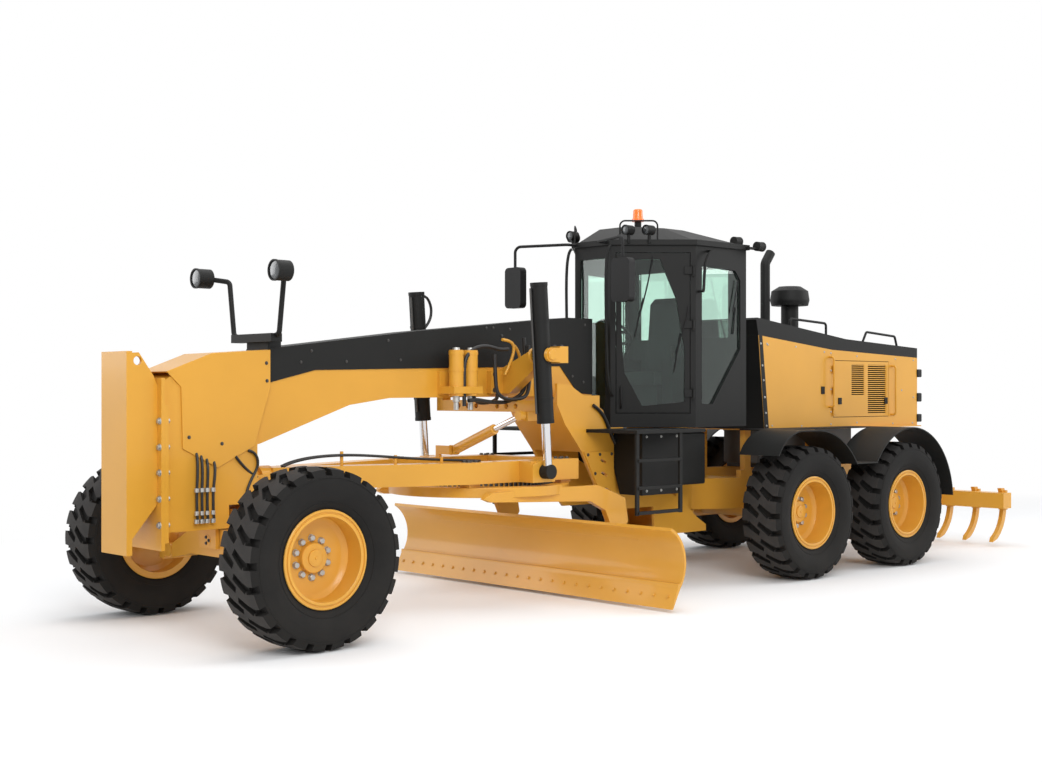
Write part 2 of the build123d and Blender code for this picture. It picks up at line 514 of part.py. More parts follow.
with BuildPart() as drawbar:
    prism(top_view(DRAWBAR_BOTTOM_Z), DRAWBAR_OUTER, DRAWBAR_TOP_Z - DRAWBAR_BOTTOM_Z)
    prism(top_view(DRAWBAR_BOTTOM_Z), DRAWBAR_INNER, DRAWBAR_TOP_Z - DRAWBAR_BOTTOM_Z, mode=Mode.SUBTRACT)
    rod((0, BALL_AFT + 15, BALL_Z), (0, BALL_AFT + 130, BALL_Z), SOCKET_RADIUS)
    for side in (1, -1):
        block(sorted((side * (BALL_RADIUS + 15), side * CHEEK_OUT)), (BALL_AFT - 45, BALL_AFT + 60), (BALL_Z - 45, BALL_Z + 45))
    with Locations((0, aft(BALL_AFT), BALL_Z)):
        Sphere(BALL_RADIUS + RUNNING_CLEARANCE, mode=Mode.SUBTRACT)
    rod((-CHEEK_OUT - 20, BALL_AFT, BALL_Z), (CHEEK_OUT + 20, BALL_AFT, BALL_Z), BALL_PIN + RUNNING_CLEARANCE, mode=Mode.SUBTRACT)
    for side in (1, -1):
        for corner in (1, -1):
            x, y = side * SHOE_RADIUS * 0.68, CIRCLE_AFT + corner * SHOE_RADIUS * 0.733
            block((x - 60, x + 60), (y - 60, y + 60), (CIRCLE_TOP_Z + SHOE_GAP, DRAWBAR_BOTTOM_Z))
        plate_out = side * (LIFT_X - EYE_HALF - 5)
        plate_in = plate_out - side * LIFT_PLATE
        block(sorted((side * 590, plate_in)), (LIFT_AFT - 130, LIFT_AFT + 130), (DRAWBAR_BOTTOM_Z, DRAWBAR_TOP_Z))
        prism(side_view(min(plate_in, plate_out)), [
            (LIFT_AFT - 130, DRAWBAR_BOTTOM_Z), (LIFT_AFT + 130, DRAWBAR_BOTTOM_Z), (LIFT_AFT + 130, LIFT_EYE_Z + 60),
            (LIFT_AFT + 50, LIFT_EYE_Z + 90), (LIFT_AFT - 50, LIFT_EYE_Z + 90), (LIFT_AFT - 130, LIFT_EYE_Z + 60),
        ], LIFT_PLATE)
    block((-480, -430), (2500, 2528), (DRAWBAR_TOP_Z - 5, SHIFT_BASE_Z + 40))
    block((-480, -290), (2500, 2528), (SHIFT_BASE_Z - 40, SHIFT_BASE_Z + 40))
save(drawbar, "drawbar")

# Circle: a ring under the shoes, with two arms that reach back and down to the blade pivots
ARM_SIDE = [
    (2000, 930), (2080, 975), (2450, 990), (3350, 990), (3700, 860), (3740, 650), (3520, 330), (3435, 215), (3400, 165),
    (3350, 165), (3315, 210), (3330, 330), (3500, 640), (3440, 760), (3250, 850), (2080, 900),
]
CIRCLE_BOTTOM_Z = CIRCLE_TOP_Z - CIRCLE_THICKNESS
with BuildPart() as circle:
    rod((0, CIRCLE_AFT, CIRCLE_BOTTOM_Z), (0, CIRCLE_AFT, CIRCLE_TOP_Z), CIRCLE_RADIUS)
    for side in (1, -1):
        low = side * BLADE_ARM_X - BLADE_ARM_THICKNESS / 2
        prism(side_view(low), ARM_SIDE, BLADE_ARM_THICKNESS)
        rod((low, BLADE_PIVOT_AFT, BLADE_PIVOT_Z), (low + BLADE_ARM_THICKNESS, BLADE_PIVOT_AFT, BLADE_PIVOT_Z), 60)
    rod((0, CIRCLE_AFT, CIRCLE_BOTTOM_Z - 5), (0, CIRCLE_AFT, CIRCLE_TOP_Z + 5), CIRCLE_BORE, mode=Mode.SUBTRACT)
    rod((-900, BLADE_PIVOT_AFT, BLADE_PIVOT_Z), (900, BLADE_PIVOT_AFT, BLADE_PIVOT_Z), 30 + RUNNING_CLEARANCE,
        mode=Mode.SUBTRACT)
save(circle, "circle")

# Blade carrier: two brackets on the pivots and a cross tube, behind the moldboard's rails
RAIL_LOW = (190, 250)
RAIL_HIGH = (560, 610)
RAIL_LOW_REAR = 3300
RAIL_HIGH_REAR = 3275
BRACKET_OUT = BLADE_ARM_X - BLADE_ARM_THICKNESS / 2 - 6
BRACKET_THICKNESS = 60
BRACKET_SIDE = [
    (RAIL_LOW_REAR + RUNNING_CLEARANCE, 180), (3420, 180), (3450, 330), (3400, 640), (RAIL_HIGH_REAR + RUNNING_CLEARANCE, 640),
    (RAIL_HIGH_REAR + RUNNING_CLEARANCE, 540), (RAIL_LOW_REAR + RUNNING_CLEARANCE, 420),
]
with BuildPart() as blade_carrier:
    for low in (BRACKET_OUT - BRACKET_THICKNESS, -BRACKET_OUT):
        prism(side_view(low), BRACKET_SIDE, BRACKET_THICKNESS)
    block((-BRACKET_OUT + 10, BRACKET_OUT - 10), (3310, 3400), (400, 490))
    for side in (1, -1):
        rod((side * (BRACKET_OUT - 30), BLADE_PIVOT_AFT, BLADE_PIVOT_Z), (side * (BLADE_ARM_X + 45), BLADE_PIVOT_AFT, BLADE_PIVOT_Z),
            30)
save(blade_carrier, "blade_carrier")

# Moldboard: a rolled plate with a cutting edge and two slide rails on its back
BLADE_CURVE = ((3172, 190), (3246, 446), (3085, BLADE_BOTTOM_Z + BLADE_HEIGHT))
with BuildPart() as moldboard:
    with BuildSketch(side_view(-BLADE_LENGTH / 2)):
        with BuildLine():
            low, mid, top = BLADE_CURVE
            ThreePointArc(low, mid, top)
            Line(top, (top[0] + 6, top[1] + BLADE_THICKNESS))
            ThreePointArc((top[0] + 6, top[1] + BLADE_THICKNESS), (mid[0] + BLADE_THICKNESS, mid[1]),
                          (low[0] + BLADE_THICKNESS, low[1]))
            Line((low[0] + BLADE_THICKNESS, low[1]), low)
        make_face()
    extrude(amount=BLADE_LENGTH)
    prism(side_view(-BLADE_LENGTH / 2), [
        (BLADE_EDGE_AFT, BLADE_BOTTOM_Z), (BLADE_EDGE_AFT + 18, BLADE_BOTTOM_Z), (low[0] + 27, low[1] + 2),
        (low[0] + 27, low[1] + 45), (low[0] + 2, low[1] + 45), (low[0] - 3, low[1] + 2),
    ], BLADE_LENGTH)
    for rail, rear, depth in ((RAIL_LOW, RAIL_LOW_REAR, 90), (RAIL_HIGH, RAIL_HIGH_REAR, 78)):
        block((-1350, 1350), (rear - depth, rear), rail)
save(moldboard, "moldboard")

# Lift yoke: saddle, raised arms with a fork for each lift cylinder, and a link bar below
FORK_X = LIFT_BARREL_RADIUS + 12
FORK_WALL = 30
YOKE_Y = (2690, 2790)
TRUNNION_AFT = LIFT_AFT - LIFT_LEAN
LINK_Z = (1640, 1740)
LOCK_HOLES_X = (-380, -260, -140, 140, 260, 380)
SHIFT_AFT = 2600
SHIFT_EYE_Z = 1610
SHIFT_EYE_X = 540
SHIFT_BASE_X = -330
with BuildPart() as lift_yoke:
    for side in (1, -1):
        block(sorted((side * BEAM_HALF_WIDTH, side * (BEAM_HALF_WIDTH + 60))), (2560, 2960), (1800, 2000))
        prism(front_view(YOKE_Y[0]), [(-side * x, z) for x, z in (
            (BEAM_HALF_WIDTH, 1800), (BEAM_HALF_WIDTH, 2000), (640, 2200), (LIFT_X + 112, 2200),
            (LIFT_X + 112, 2060), (690, 2060), (300, 1800))], YOKE_Y[1] - YOKE_Y[0])
        block(sorted((side * 610, side * 690)), (YOKE_Y[0], YOKE_Y[1]), (LINK_Z[0], 2080))
        for step in (-FORK_X - FORK_WALL, FORK_X):
            x = side * LIFT_X + step
            block((x, x + FORK_WALL), (TRUNNION_AFT, YOKE_Y[0] + 5), (LIFT_TRUNNION_Z - 60, LIFT_TRUNNION_Z + 60))
            rod((x, TRUNNION_AFT, LIFT_TRUNNION_Z), (x + FORK_WALL, TRUNNION_AFT, LIFT_TRUNNION_Z), 60)
    block((-690, 690), YOKE_Y, LINK_Z)
    block((SHIFT_EYE_X - 50, SHIFT_EYE_X + 50), (SHIFT_AFT + 40, YOKE_Y[1]), (SHIFT_EYE_Z - 45, LINK_Z[0] + 5))
    rod((-1000, TRUNNION_AFT, LIFT_TRUNNION_Z), (1000, TRUNNION_AFT, LIFT_TRUNNION_Z), 28 + RUNNING_CLEARANCE,
        mode=Mode.SUBTRACT)
    for x in LOCK_HOLES_X:
        rod((x, YOKE_Y[0] - 5, sum(LINK_Z) / 2), (x, YOKE_Y[1] + 5, sum(LINK_Z) / 2), 24, mode=Mode.SUBTRACT)
save(lift_yoke, "lift_yoke")

# Lift cylinders: barrels on trunnions in the yoke forks, rods down to the drawbar plates
lift_dir = Vector(0, LIFT_LEAN, LIFT_EYE_Z - LIFT_TRUNNION_Z).normalized()


def along(distance, x=LIFT_X):
    """A point on the lift cylinder's centre line, as (lateral, aft, height)."""
    return (x, TRUNNION_AFT + lift_dir.Y * distance, LIFT_TRUNNION_Z + lift_dir.Z * distance)


LIFT_SPAN = hypot(LIFT_LEAN, LIFT_TRUNNION_Z - LIFT_EYE_Z)
with BuildPart() as barrel:
    rod(along(-LIFT_BARREL_ABOVE), along(LIFT_BARREL_BELOW), LIFT_BARREL_RADIUS)
    rod((LIFT_X - FORK_X - FORK_WALL - 8, TRUNNION_AFT, LIFT_TRUNNION_Z),
        (LIFT_X + FORK_X + FORK_WALL + 8, TRUNNION_AFT, LIFT_TRUNNION_Z), 28)
    rod(along(-LIFT_BARREL_ABOVE + 30), along(LIFT_BARREL_BELOW + 1), LIFT_ROD_RADIUS + RUNNING_CLEARANCE, mode=Mode.SUBTRACT)
save(barrel, "lift_barrel_left")
with BuildPart() as barrel_right:
    mirror(barrel.part, about=Plane.YZ)
save(barrel_right, "lift_barrel_right")
with BuildPart() as lift_rod:
    rod(along(230), along(LIFT_SPAN - EYE_OUTER + 10), LIFT_ROD_RADIUS)
    rod((LIFT_X - EYE_HALF, LIFT_AFT, LIFT_EYE_Z), (LIFT_X + EYE_HALF, LIFT_AFT, LIFT_EYE_Z), EYE_OUTER)
save(lift_rod, "lift_rod_left")
with BuildPart() as lift_rod_right:
    mirror(lift_rod.part, about=Plane.YZ)
save(lift_rod_right, "lift_rod_right")

# Centre-shift cylinder: rod eye on the yoke's hanger, barrel eye beside the drawbar's post
SHIFT_TUBE = 45
SHIFT_ROD = 25
shift_a = (SHIFT_EYE_X, SHIFT_AFT, SHIFT_EYE_Z)
shift_b = (SHIFT_BASE_X, SHIFT_AFT, SHIFT_BASE_Z)


def shift_point(fraction):
    """A point of the centre-shift cylinder, from its upper eye (0) to its lower eye (1)."""
    return tuple(a + (b - a) * fraction for a, b in zip(shift_a, shift_b))


with BuildPart() as shift_rod:
    rod(shift_point(0.03), shift_point(0.72), SHIFT_ROD)
    rod((SHIFT_EYE_X, SHIFT_AFT - 30, SHIFT_EYE_Z), (SHIFT_EYE_X, SHIFT_AFT + 30, SHIFT_EYE_Z), 42)
    rod((SHIFT_EYE_X, SHIFT_AFT, SHIFT_EYE_Z), (SHIFT_EYE_X, SHIFT_AFT + 39.7, SHIFT_EYE_Z), 20)
save(shift_rod, "centre_shift_rod")
with BuildPart() as shift_barrel:
    rod(shift_point(0.38), shift_point(0.96), SHIFT_TUBE)
    rod((SHIFT_BASE_X, SHIFT_AFT - 51.7, SHIFT_BASE_Z), (SHIFT_BASE_X, SHIFT_AFT + 30, SHIFT_BASE_Z), 45)
    rod(shift_point(0.37), shift_point(0.9), SHIFT_ROD + RUNNING_CLEARANCE, mode=Mode.SUBTRACT)
save(shift_barrel, "centre_shift_barrel")

# Accumulators: two upright cylinders on a valve block at the left side of the gooseneck
ACCUMULATOR_RADIUS = 62
ACCUMULATORS_AFT = (2080, 2240)
ACCUMULATOR_X = 300
with BuildPart() as accumulators:
    block((BEAM_HALF_WIDTH, ACCUMULATOR_X + 70), (2000, 2320), (1800, 1860))
    block((BEAM_HALF_WIDTH, BEAM_HALF_WIDTH + 30), (2000, 2320), (1790, 1990))
    for station in ACCUMULATORS_AFT:
        rod((ACCUMULATOR_X, station, 1780), (ACCUMULATOR_X, station, 2170), ACCUMULATOR_RADIUS)
save(accumulators, "accumulators")

# Cab: floor, walls and posts around door and window openings, tapering to the front
CAB_PLAN = [
    (-CAB_FRONT_HALF, CAB_FRONT_AFT), (CAB_FRONT_HALF, CAB_FRONT_AFT), (CAB_HALF_WIDTH, CAB_CORNER_AFT),
    (CAB_HALF_WIDTH, CAB_REAR_AFT), (-CAB_HALF_WIDTH, CAB_REAR_AFT), (-CAB_HALF_WIDTH, CAB_CORNER_AFT),
]
CAB_FLOOR_THICKNESS = 110
CAB_INSIDE_Z = CAB_FLOOR_Z + CAB_FLOOR_THICKNESS
face_run = Vector(CAB_HALF_WIDTH - CAB_FRONT_HALF, CAB_CORNER_AFT - CAB_FRONT_AFT, 0)
FACE_LENGTH = face_run.length
face_dir = face_run.normalized()
face_out = Vector(face_dir.Y, -face_dir.X, 0)
door_face = Plane(origin=(CAB_FRONT_HALF, aft(CAB_FRONT_AFT), 0), x_dir=face_dir, z_dir=face_out)
DOOR_MARGIN = 50
DOOR_GAP = 6
DOOR_BOTTOM_Z = CAB_INSIDE_Z + 20
DOOR_TOP_Z = 3130
GLASS_GAP = RUNNING_CLEARANCE
DOOR_GLASS = [
    (105, 3065), (470, 3065), (620, 2700), (700, 2200), (700, 1720), (300, 1680), (130, 2000), (105, 2400),
]
SIDE_GLASS = [(4730, 3010), (5230, 2990), (5310, 2900), (5310, 2230), (4890, 1700), (4730, 1700)]
WINDSHIELD = [(-165, 1660), (165, 1660), (165, 3080), (-165, 3080)]
REAR_GLASS = [(-600, 2350), (600, 2350), (600, 3040), (-600, 3040)]


def shrunk(outline, amount, plane, depth, start=0.0, mode=Mode.ADD):
    """An outline offset inwards on a plane, then extruded inwards through a wall."""
    with BuildSketch(plane.offset(-start)) as drawn:
        with BuildLine():
            Polyline(*outline, close=True)
        make_face()
        if amount:
            offset(amount=-amount, kind=Kind.INTERSECTION, mode=Mode.REPLACE)
    extrude(drawn.sketch, amount=-depth, mode=mode)


side_face = side_view(CAB_HALF_WIDTH)
front_face = Plane(origin=(0, aft(CAB_FRONT_AFT), 0), x_dir=(1, 0, 0), z_dir=(0, -1, 0))
rear_face = Plane(origin=(0, aft(CAB_REAR_AFT), 0), x_dir=(-1, 0, 0), z_dir=(0, 1, 0))
DOORWAY = [
    (DOOR_MARGIN, DOOR_BOTTOM_Z), (FACE_LENGTH - DOOR_MARGIN, DOOR_BOTTOM_Z),
    (FACE_LENGTH - DOOR_MARGIN, DOOR_TOP_Z), (DOOR_MARGIN, DOOR_TOP_Z),
]

with BuildPart() as doorway:
    shrunk(DOORWAY, 0, door_face, CAB_WALL + 60, start=-20)
    shrunk(SIDE_GLASS, 0, side_face, CAB_WALL + 60, start=-20)
HINGE_OUT = 18
HINGE_U = FACE_LENGTH - 24
HINGE_PIN = 9
HINGE_KNUCKLE = 13
HINGES_Z = (1800, 2450, 2960)
HINGE_LENGTH = 70


def on_face(along_face, out, z):
    """A point from the door's angled face: along it from the front post, and out from it."""
    spot = Vector(CAB_FRONT_HALF, CAB_FRONT_AFT, z) + face_dir * along_face + face_out * out
    return (spot.X, spot.Y, spot.Z)


def face_block(u, w, z, mode=Mode.ADD):
    """A block on the angled face: u along it, w out from it, z up."""
    corners = [on_face(a, b, 0) for a, b in ((u[0], w[0]), (u[1], w[0]), (u[1], w[1]), (u[0], w[1]))]
    prism(top_view(z[0]), [(c[0], c[1]) for c in corners], z[1] - z[0], mode=mode)


with BuildPart() as hinge_pins:
    for z in HINGES_Z:
        low = z - HINGE_LENGTH / 2
        rod(on_face(HINGE_U, HINGE_OUT, low - 22), on_face(HINGE_U, HINGE_OUT, z + HINGE_LENGTH / 2 + 22), HINGE_PIN)
        for ear in (low - 22, z + HINGE_LENGTH / 2 + 2):
            face_block((HINGE_U - 12, HINGE_U + 12), (-5, HINGE_OUT + 8), (ear, ear + 20))
with BuildPart() as cab_shell:
    prism(top_view(CAB_FLOOR_Z), CAB_PLAN, CAB_ROOF_Z - CAB_FLOOR_Z)
    with BuildSketch(top_view(CAB_INSIDE_Z)) as hollow:
        with BuildLine():
            Polyline(*CAB_PLAN, close=True)
        make_face()
        offset(amount=-CAB_WALL, kind=Kind.INTERSECTION, mode=Mode.REPLACE)
    extrude(hollow.sketch, amount=CAB_ROOF_Z, mode=Mode.SUBTRACT)
    shrunk(WINDSHIELD, 0, front_face, CAB_WALL + 20, start=-10, mode=Mode.SUBTRACT)
    shrunk(REAR_GLASS, 0, rear_face, CAB_WALL + 20, start=-10, mode=Mode.SUBTRACT)
    add(doorway.part, mode=Mode.SUBTRACT)
    add(mirror(doorway.part, about=Plane.YZ, mode=Mode.PRIVATE), mode=Mode.SUBTRACT)
    add(hinge_pins.part)
    add(mirror(hinge_pins.part, about=Plane.YZ, mode=Mode.PRIVATE))
save(cab_shell, "cab_shell")

with BuildPart() as cab_door:
    shrunk(DOORWAY, DOOR_GAP, door_face, CAB_WALL)
    for z in HINGES_Z:
        strap = (z - HINGE_LENGTH / 2, z + HINGE_LENGTH / 2)
        face_block((FACE_LENGTH - 110, FACE_LENGTH - DOOR_MARGIN - DOOR_GAP), (-5, 15), strap)
        face_block((FACE_LENGTH - 110, HINGE_U), (5, 15), strap)
        rod(on_face(HINGE_U, HINGE_OUT, strap[0]), on_face(HINGE_U, HINGE_OUT, strap[1]), HINGE_KNUCKLE)
        rod(on_face(HINGE_U, HINGE_OUT, strap[0] - 5), on_face(HINGE_U, HINGE_OUT, strap[1] + 5),
            HINGE_PIN + RUNNING_CLEARANCE, mode=Mode.SUBTRACT)
    shrunk(DOOR_GLASS, 0, door_face, CAB_WALL + 20, start=-10, mode=Mode.SUBTRACT)
    shrunk(DOOR_GLASS, GLASS_GAP, door_face, CAB_GLASS, start=20)
save(cab_door, "cab_door_left")
with BuildPart() as cab_door_right:
    mirror(cab_door.part, about=Plane.YZ)
save(cab_door_right, "cab_door_right")

with BuildPart() as cab_glass:
    shrunk(SIDE_GLASS, GLASS_GAP, side_face, CAB_GLASS, start=20)
    mirror(about=Plane.YZ)
    shrunk(WINDSHIELD, GLASS_GAP, front_face, CAB_GLASS, start=20)
    shrunk(REAR_GLASS, GLASS_GAP, rear_face, CAB_GLASS, start=20)
save(cab_glass, "cab_glass")

# Cab roof: an eave slab, a raised crown with hipped sides, work lamps and hoops over the front pairs
EAVE = 25
EAVE_THICKNESS = 50
CROWN_TOP_Z = 3400
CROWN_FOOT_INSET = 20
CROWN_TOP = [(-330, 4980), (-330, 4700), (-180, 4330), (180, 4330), (330, 4700), (330, 4980)]
LAMP_Z = 3338
LAMP_SIZE = 46
LAMP_HALF_DEPTH = 42
REAR_LAMPS = ((600, 5470, 3305), (845, 5520, 3240))
FACE_LAMPS = (170, 365)
HOOP_ENDS = (90, 445)


def roof_lamp(x, y, z):
    """A round work lamp, its foot standing on the eave."""
    rod((x, y - LAMP_HALF_DEPTH, z), (x, y + LAMP_HALF_DEPTH, z), LAMP_SIZE)
    rod((x, y, z), (x, y, CAB_ROOF_Z + 15), 16)


with BuildPart() as cab_roof:
    with BuildSketch(top_view(CAB_ROOF_Z)) as eave:
        with BuildLine():
            Polyline(*CAB_PLAN, close=True)
        make_face()
        offset(amount=EAVE, kind=Kind.INTERSECTION, mode=Mode.REPLACE)
    extrude(eave.sketch, amount=EAVE_THICKNESS)
    with BuildSketch(top_view(CAB_ROOF_Z + EAVE_THICKNESS - 5)) as crown_foot:
        with BuildLine():
            Polyline(*CAB_PLAN, close=True)
        make_face()
        offset(amount=-CROWN_FOOT_INSET, kind=Kind.INTERSECTION, mode=Mode.REPLACE)
    with BuildSketch(top_view(CROWN_TOP_Z)) as crown_top:
        with BuildLine():
            Polyline(*CROWN_TOP, close=True)
        make_face()
    loft(sections=[crown_foot.sketch, crown_top.sketch], ruled=True)
    for side in (1, -1):
        for along_face in FACE_LAMPS:
            x, y, z = on_face(along_face, EAVE, LAMP_Z)
            roof_lamp(side * x, y, z)
        hoop = [on_face(HOOP_ENDS[0], 5, CAB_ROOF_Z + 30), on_face(HOOP_ENDS[0], 5, LAMP_Z + 90),
                on_face(HOOP_ENDS[1], 5, LAMP_Z + 90), on_face(HOOP_ENDS[1], 5, CAB_ROOF_Z + 30)]
        pipe([(side * x, y, z) for x, y, z in hoop], 8, 50)
        for x, y, z in REAR_LAMPS:
            roof_lamp(side * x, y, z)
            block(sorted((side * (x - 60), side * (x + 16))), (CAB_REAR_AFT - 40, y + 16), (CAB_ROOF_Z + 10, CAB_ROOF_Z + 26))
    rod((*BEACON_PLACE, CROWN_TOP_Z - 30), (*BEACON_PLACE, BEACON_FOOT_Z), 34)
save(cab_roof, "cab_roof")

# Beacon: a round amber lens on the roof's short post
with BuildPart() as beacon:
    turned((BEACON_PLACE[0], aft(BEACON_PLACE[1]), BEACON_FOOT_Z), (0, 0, 1), [
        (0, 0), (0, 58), (30, 58), (34, 50), (112, 46), (124, 36), (128, 0)])
save(beacon, "beacon")

# Operator's place: seat, side consoles, steering column and wheel
with BuildPart() as operator_seat:
    block((-180, 180), (4760, 5120), (CAB_INSIDE_Z, 1880))
    block((-250, 250), (4640, 5150), (1880, 2010))
    prism(side_view(-230), [(5060, 2010), (5150, 2010), (5250, 2740), (5190, 2760), (5120, 2700)], 460)
save(operator_seat, "operator_seat")
with BuildPart() as operator_console:
    for side in (1, -1):
        block(sorted((side * 300, side * 440)), (4700, 5060), (CAB_INSIDE_Z, 2130))
        rod((side * 370, 4760, 2100), (side * 370, 4760, 2260), 22)
    block((-110, 110), (4150, 4220), (CAB_INSIDE_Z, 2250))
    prism(side_view(-150), [(4140, 2250), (4220, 2250), (4220, 2330), (4150, 2480), (4140, 2480)], 300)
    rod((0, 4215, 2290), (0, 4330, 2380), 20)
    with Locations(Location((0, aft(4345), 2392), (-38, 0, 0))):
        Torus(175, 14)
        with Locations((0, 0, -6)):
            Box(330, 30, 14)
            Cylinder(40, 16)
save(operator_console, "operator_console")

# Mirrors: a head on a bent arm at each front corner of the roof
MIRROR_X = 714
MIRROR_AHEAD = 345
MIRROR_HALF = 112
MIRROR_Z = (2628, 3024)
MIRROR_AFT = CAB_FRONT_AFT - MIRROR_AHEAD
with BuildPart() as mirrors:
    for side in (1, -1):
        pipe([(side * 200, CAB_FRONT_AFT - EAVE, CAB_ROOF_Z + 25), (side * 200, CAB_FRONT_AFT - EAVE - 110, CAB_ROOF_Z + 25),
              (side * MIRROR_X, MIRROR_AFT, CAB_ROOF_Z + 25), (side * MIRROR_X, MIRROR_AFT, MIRROR_Z[1] - 10)], 14, 60)
        with BuildSketch(front_view(MIRROR_AFT - 35)) as head:
            with Locations((-side * MIRROR_X, sum(MIRROR_Z) / 2)):
                RectangleRounded(2 * MIRROR_HALF, MIRROR_Z[1] - MIRROR_Z[0], 45)
        extrude(head.sketch, amount=80)
save(mirrors, "mirrors")

# Access: side tanks under the cab, a tread plate and a ladder on each side
TANK_X = (345, 690)
LADDER_X = 945
LADDER_RAILS = (3640, 4225)
RUNGS_Z = (SWEEP_Z + 20, 955, 1200)
TREAD_Z = (1440, 1472)
with BuildPart() as access_left:
    prism(front_view(3990), [(-x, z) for x, z in (
        (FRAME_PLATE_X, 1100), (FRAME_PLATE_X, TREAD_Z[0] + 5), (TANK_X[1], TREAD_Z[0] + 5), (TANK_X[1], 860),
        (TANK_X[0] + 60, 860))], 540)
    block((FRAME_PLATE_X, LADDER_X + 20), (LADDER_RAILS[0] - 20, 4560), TREAD_Z)
    for y in LADDER_RAILS:
        block((LADDER_X - 12, LADDER_X + 12), (y - 20, y + 20), (RUNGS_Z[0] - 20, TREAD_Z[0] + 5))
    for z in RUNGS_Z:
        block((LADDER_X - 25, LADDER_X + 25), LADDER_RAILS, (z - 14, z + 14))
with BuildPart() as access:
    add(access_left.part)
    mirror(about=Plane.YZ)
save(access, "access_platforms")

# Rear frame: hitch block and pin, neck, rails, axle housing, deck and bumper
RIPPER_PIVOT = (8960, 860)
RIPPER_ARM_X = (300, 350)
RIPPER_PIN = 30
RIPPER_TOP = (8965, 1180)
TANDEM_MID = WHEELBASE
NECK_PLAN = [
    (-100, HITCH_AFT), (100, HITCH_AFT), (RAIL_X + 60, HITCH_AFT + 430), (RAIL_X + 60, HITCH_AFT + 630),
    (-RAIL_X - 60, HITCH_AFT + 630), (-RAIL_X - 60, HITCH_AFT + 430),
]
HITCH_BLOCK = (HITCH_LOWER_Z + HITCH_LUG_THICKNESS + 5, HITCH_UPPER_Z - 5)
DECK_Z = (HOOD_BOTTOM_Z - 12, HOOD_BOTTOM_Z)
DECK_HALF = 700
with BuildPart() as rear_frame:
    rod((0, HITCH_AFT, HITCH_BLOCK[0]), (0, HITCH_AFT, HITCH_BLOCK[1]), 120)
    rod((0, HITCH_AFT, HITCH_LOWER_Z - 30), (0, HITCH_AFT, HITCH_UPPER_Z + HITCH_LUG_THICKNESS + 30), HITCH_PIN_RADIUS)
    prism(top_view(HITCH_BLOCK[0]), NECK_PLAN, HITCH_BLOCK[1] - HITCH_BLOCK[0])
    for side in (1, -1):
        x = sorted((side * RAIL_X, side * (RAIL_X + RAIL_THICKNESS)))
        block(x, (HITCH_AFT + 570, REAR_FRAME_END), (RAIL_BOTTOM_Z, RAIL_TOP_Z))
        for y in (5960, 7080, 8420):
            block(x, (y, y + 100), (RAIL_TOP_Z - 5, DECK_Z[0] + 2))
    rod((-TANDEM_CASE_X, TANDEM_MID, AXLE_Z), (TANDEM_CASE_X, TANDEM_MID, AXLE_Z), 175)
    block((-DECK_HALF, DECK_HALF), (5880, 8690), DECK_Z)
    block((-240, 240), (6250, 8050), (DECK_Z[0] - 5, DECK_Z[1] + 5), mode=Mode.SUBTRACT)
    block((-600, 600), (8750, REAR_FRAME_END), (700, 1230))
    for low in (RIPPER_ARM_X[0], -RIPPER_ARM_X[1]):
        for x in (low - 37, low + 55):
            prism(side_view(x), [(REAR_FRAME_END - 5, 790), (RIPPER_PIVOT[0], 800), (RIPPER_PIVOT[0] + 45, 860),
                                 (RIPPER_PIVOT[0], 930), (REAR_FRAME_END - 5, 960)], 32)
        rod((low - 37, *RIPPER_PIVOT), (low + 87, *RIPPER_PIVOT), RIPPER_PIN)
    for x in (-70, 40):
        prism(side_view(x), [(REAR_FRAME_END - 5, 1100), (RIPPER_TOP[0], 1120), (RIPPER_TOP[0] + 50, RIPPER_TOP[1]),
                             (RIPPER_TOP[0], 1230), (REAR_FRAME_END - 5, 1230)], 30)
    rod((-70, *RIPPER_TOP), (70, *RIPPER_TOP), RIPPER_PIN)
save(rear_frame, "rear_frame")

with BuildPart() as tandem_cases:
    for side in (1, -1):
        inner = side * TANDEM_CASE_X
        with BuildSketch(Plane(origin=(inner, aft(TANDEM_MID), AXLE_Z), x_dir=(0, 1, 0), z_dir=(1, 0, 0))) as case:
            SlotCenterToCenter(TANDEM_PITCH, 400)
        extrude(case.sketch, amount=side * TANDEM_CASE_THICKNESS)
        for y in (TANDEM_MID - TANDEM_PITCH / 2, TANDEM_MID + TANDEM_PITCH / 2):
            rod((inner + side * TANDEM_CASE_THICKNESS - side, y, AXLE_Z),
                (side * (TRACK / 2 + REAR_DISC_OFFSET - HUB_BORE_STEP - 5), y, AXLE_Z), SPINDLE_RADIUS)
save(tandem_cases, "tandem_cases")

with BuildPart() as engine:
    block((-230, 230), (6300, 8000), (1060, 2050))
    for y in (6450, 7750):
        block((-RAIL_X - 50, RAIL_X + 50), (y, y + 120), (RAIL_TOP_Z, 1075))
save(engine, "engine")

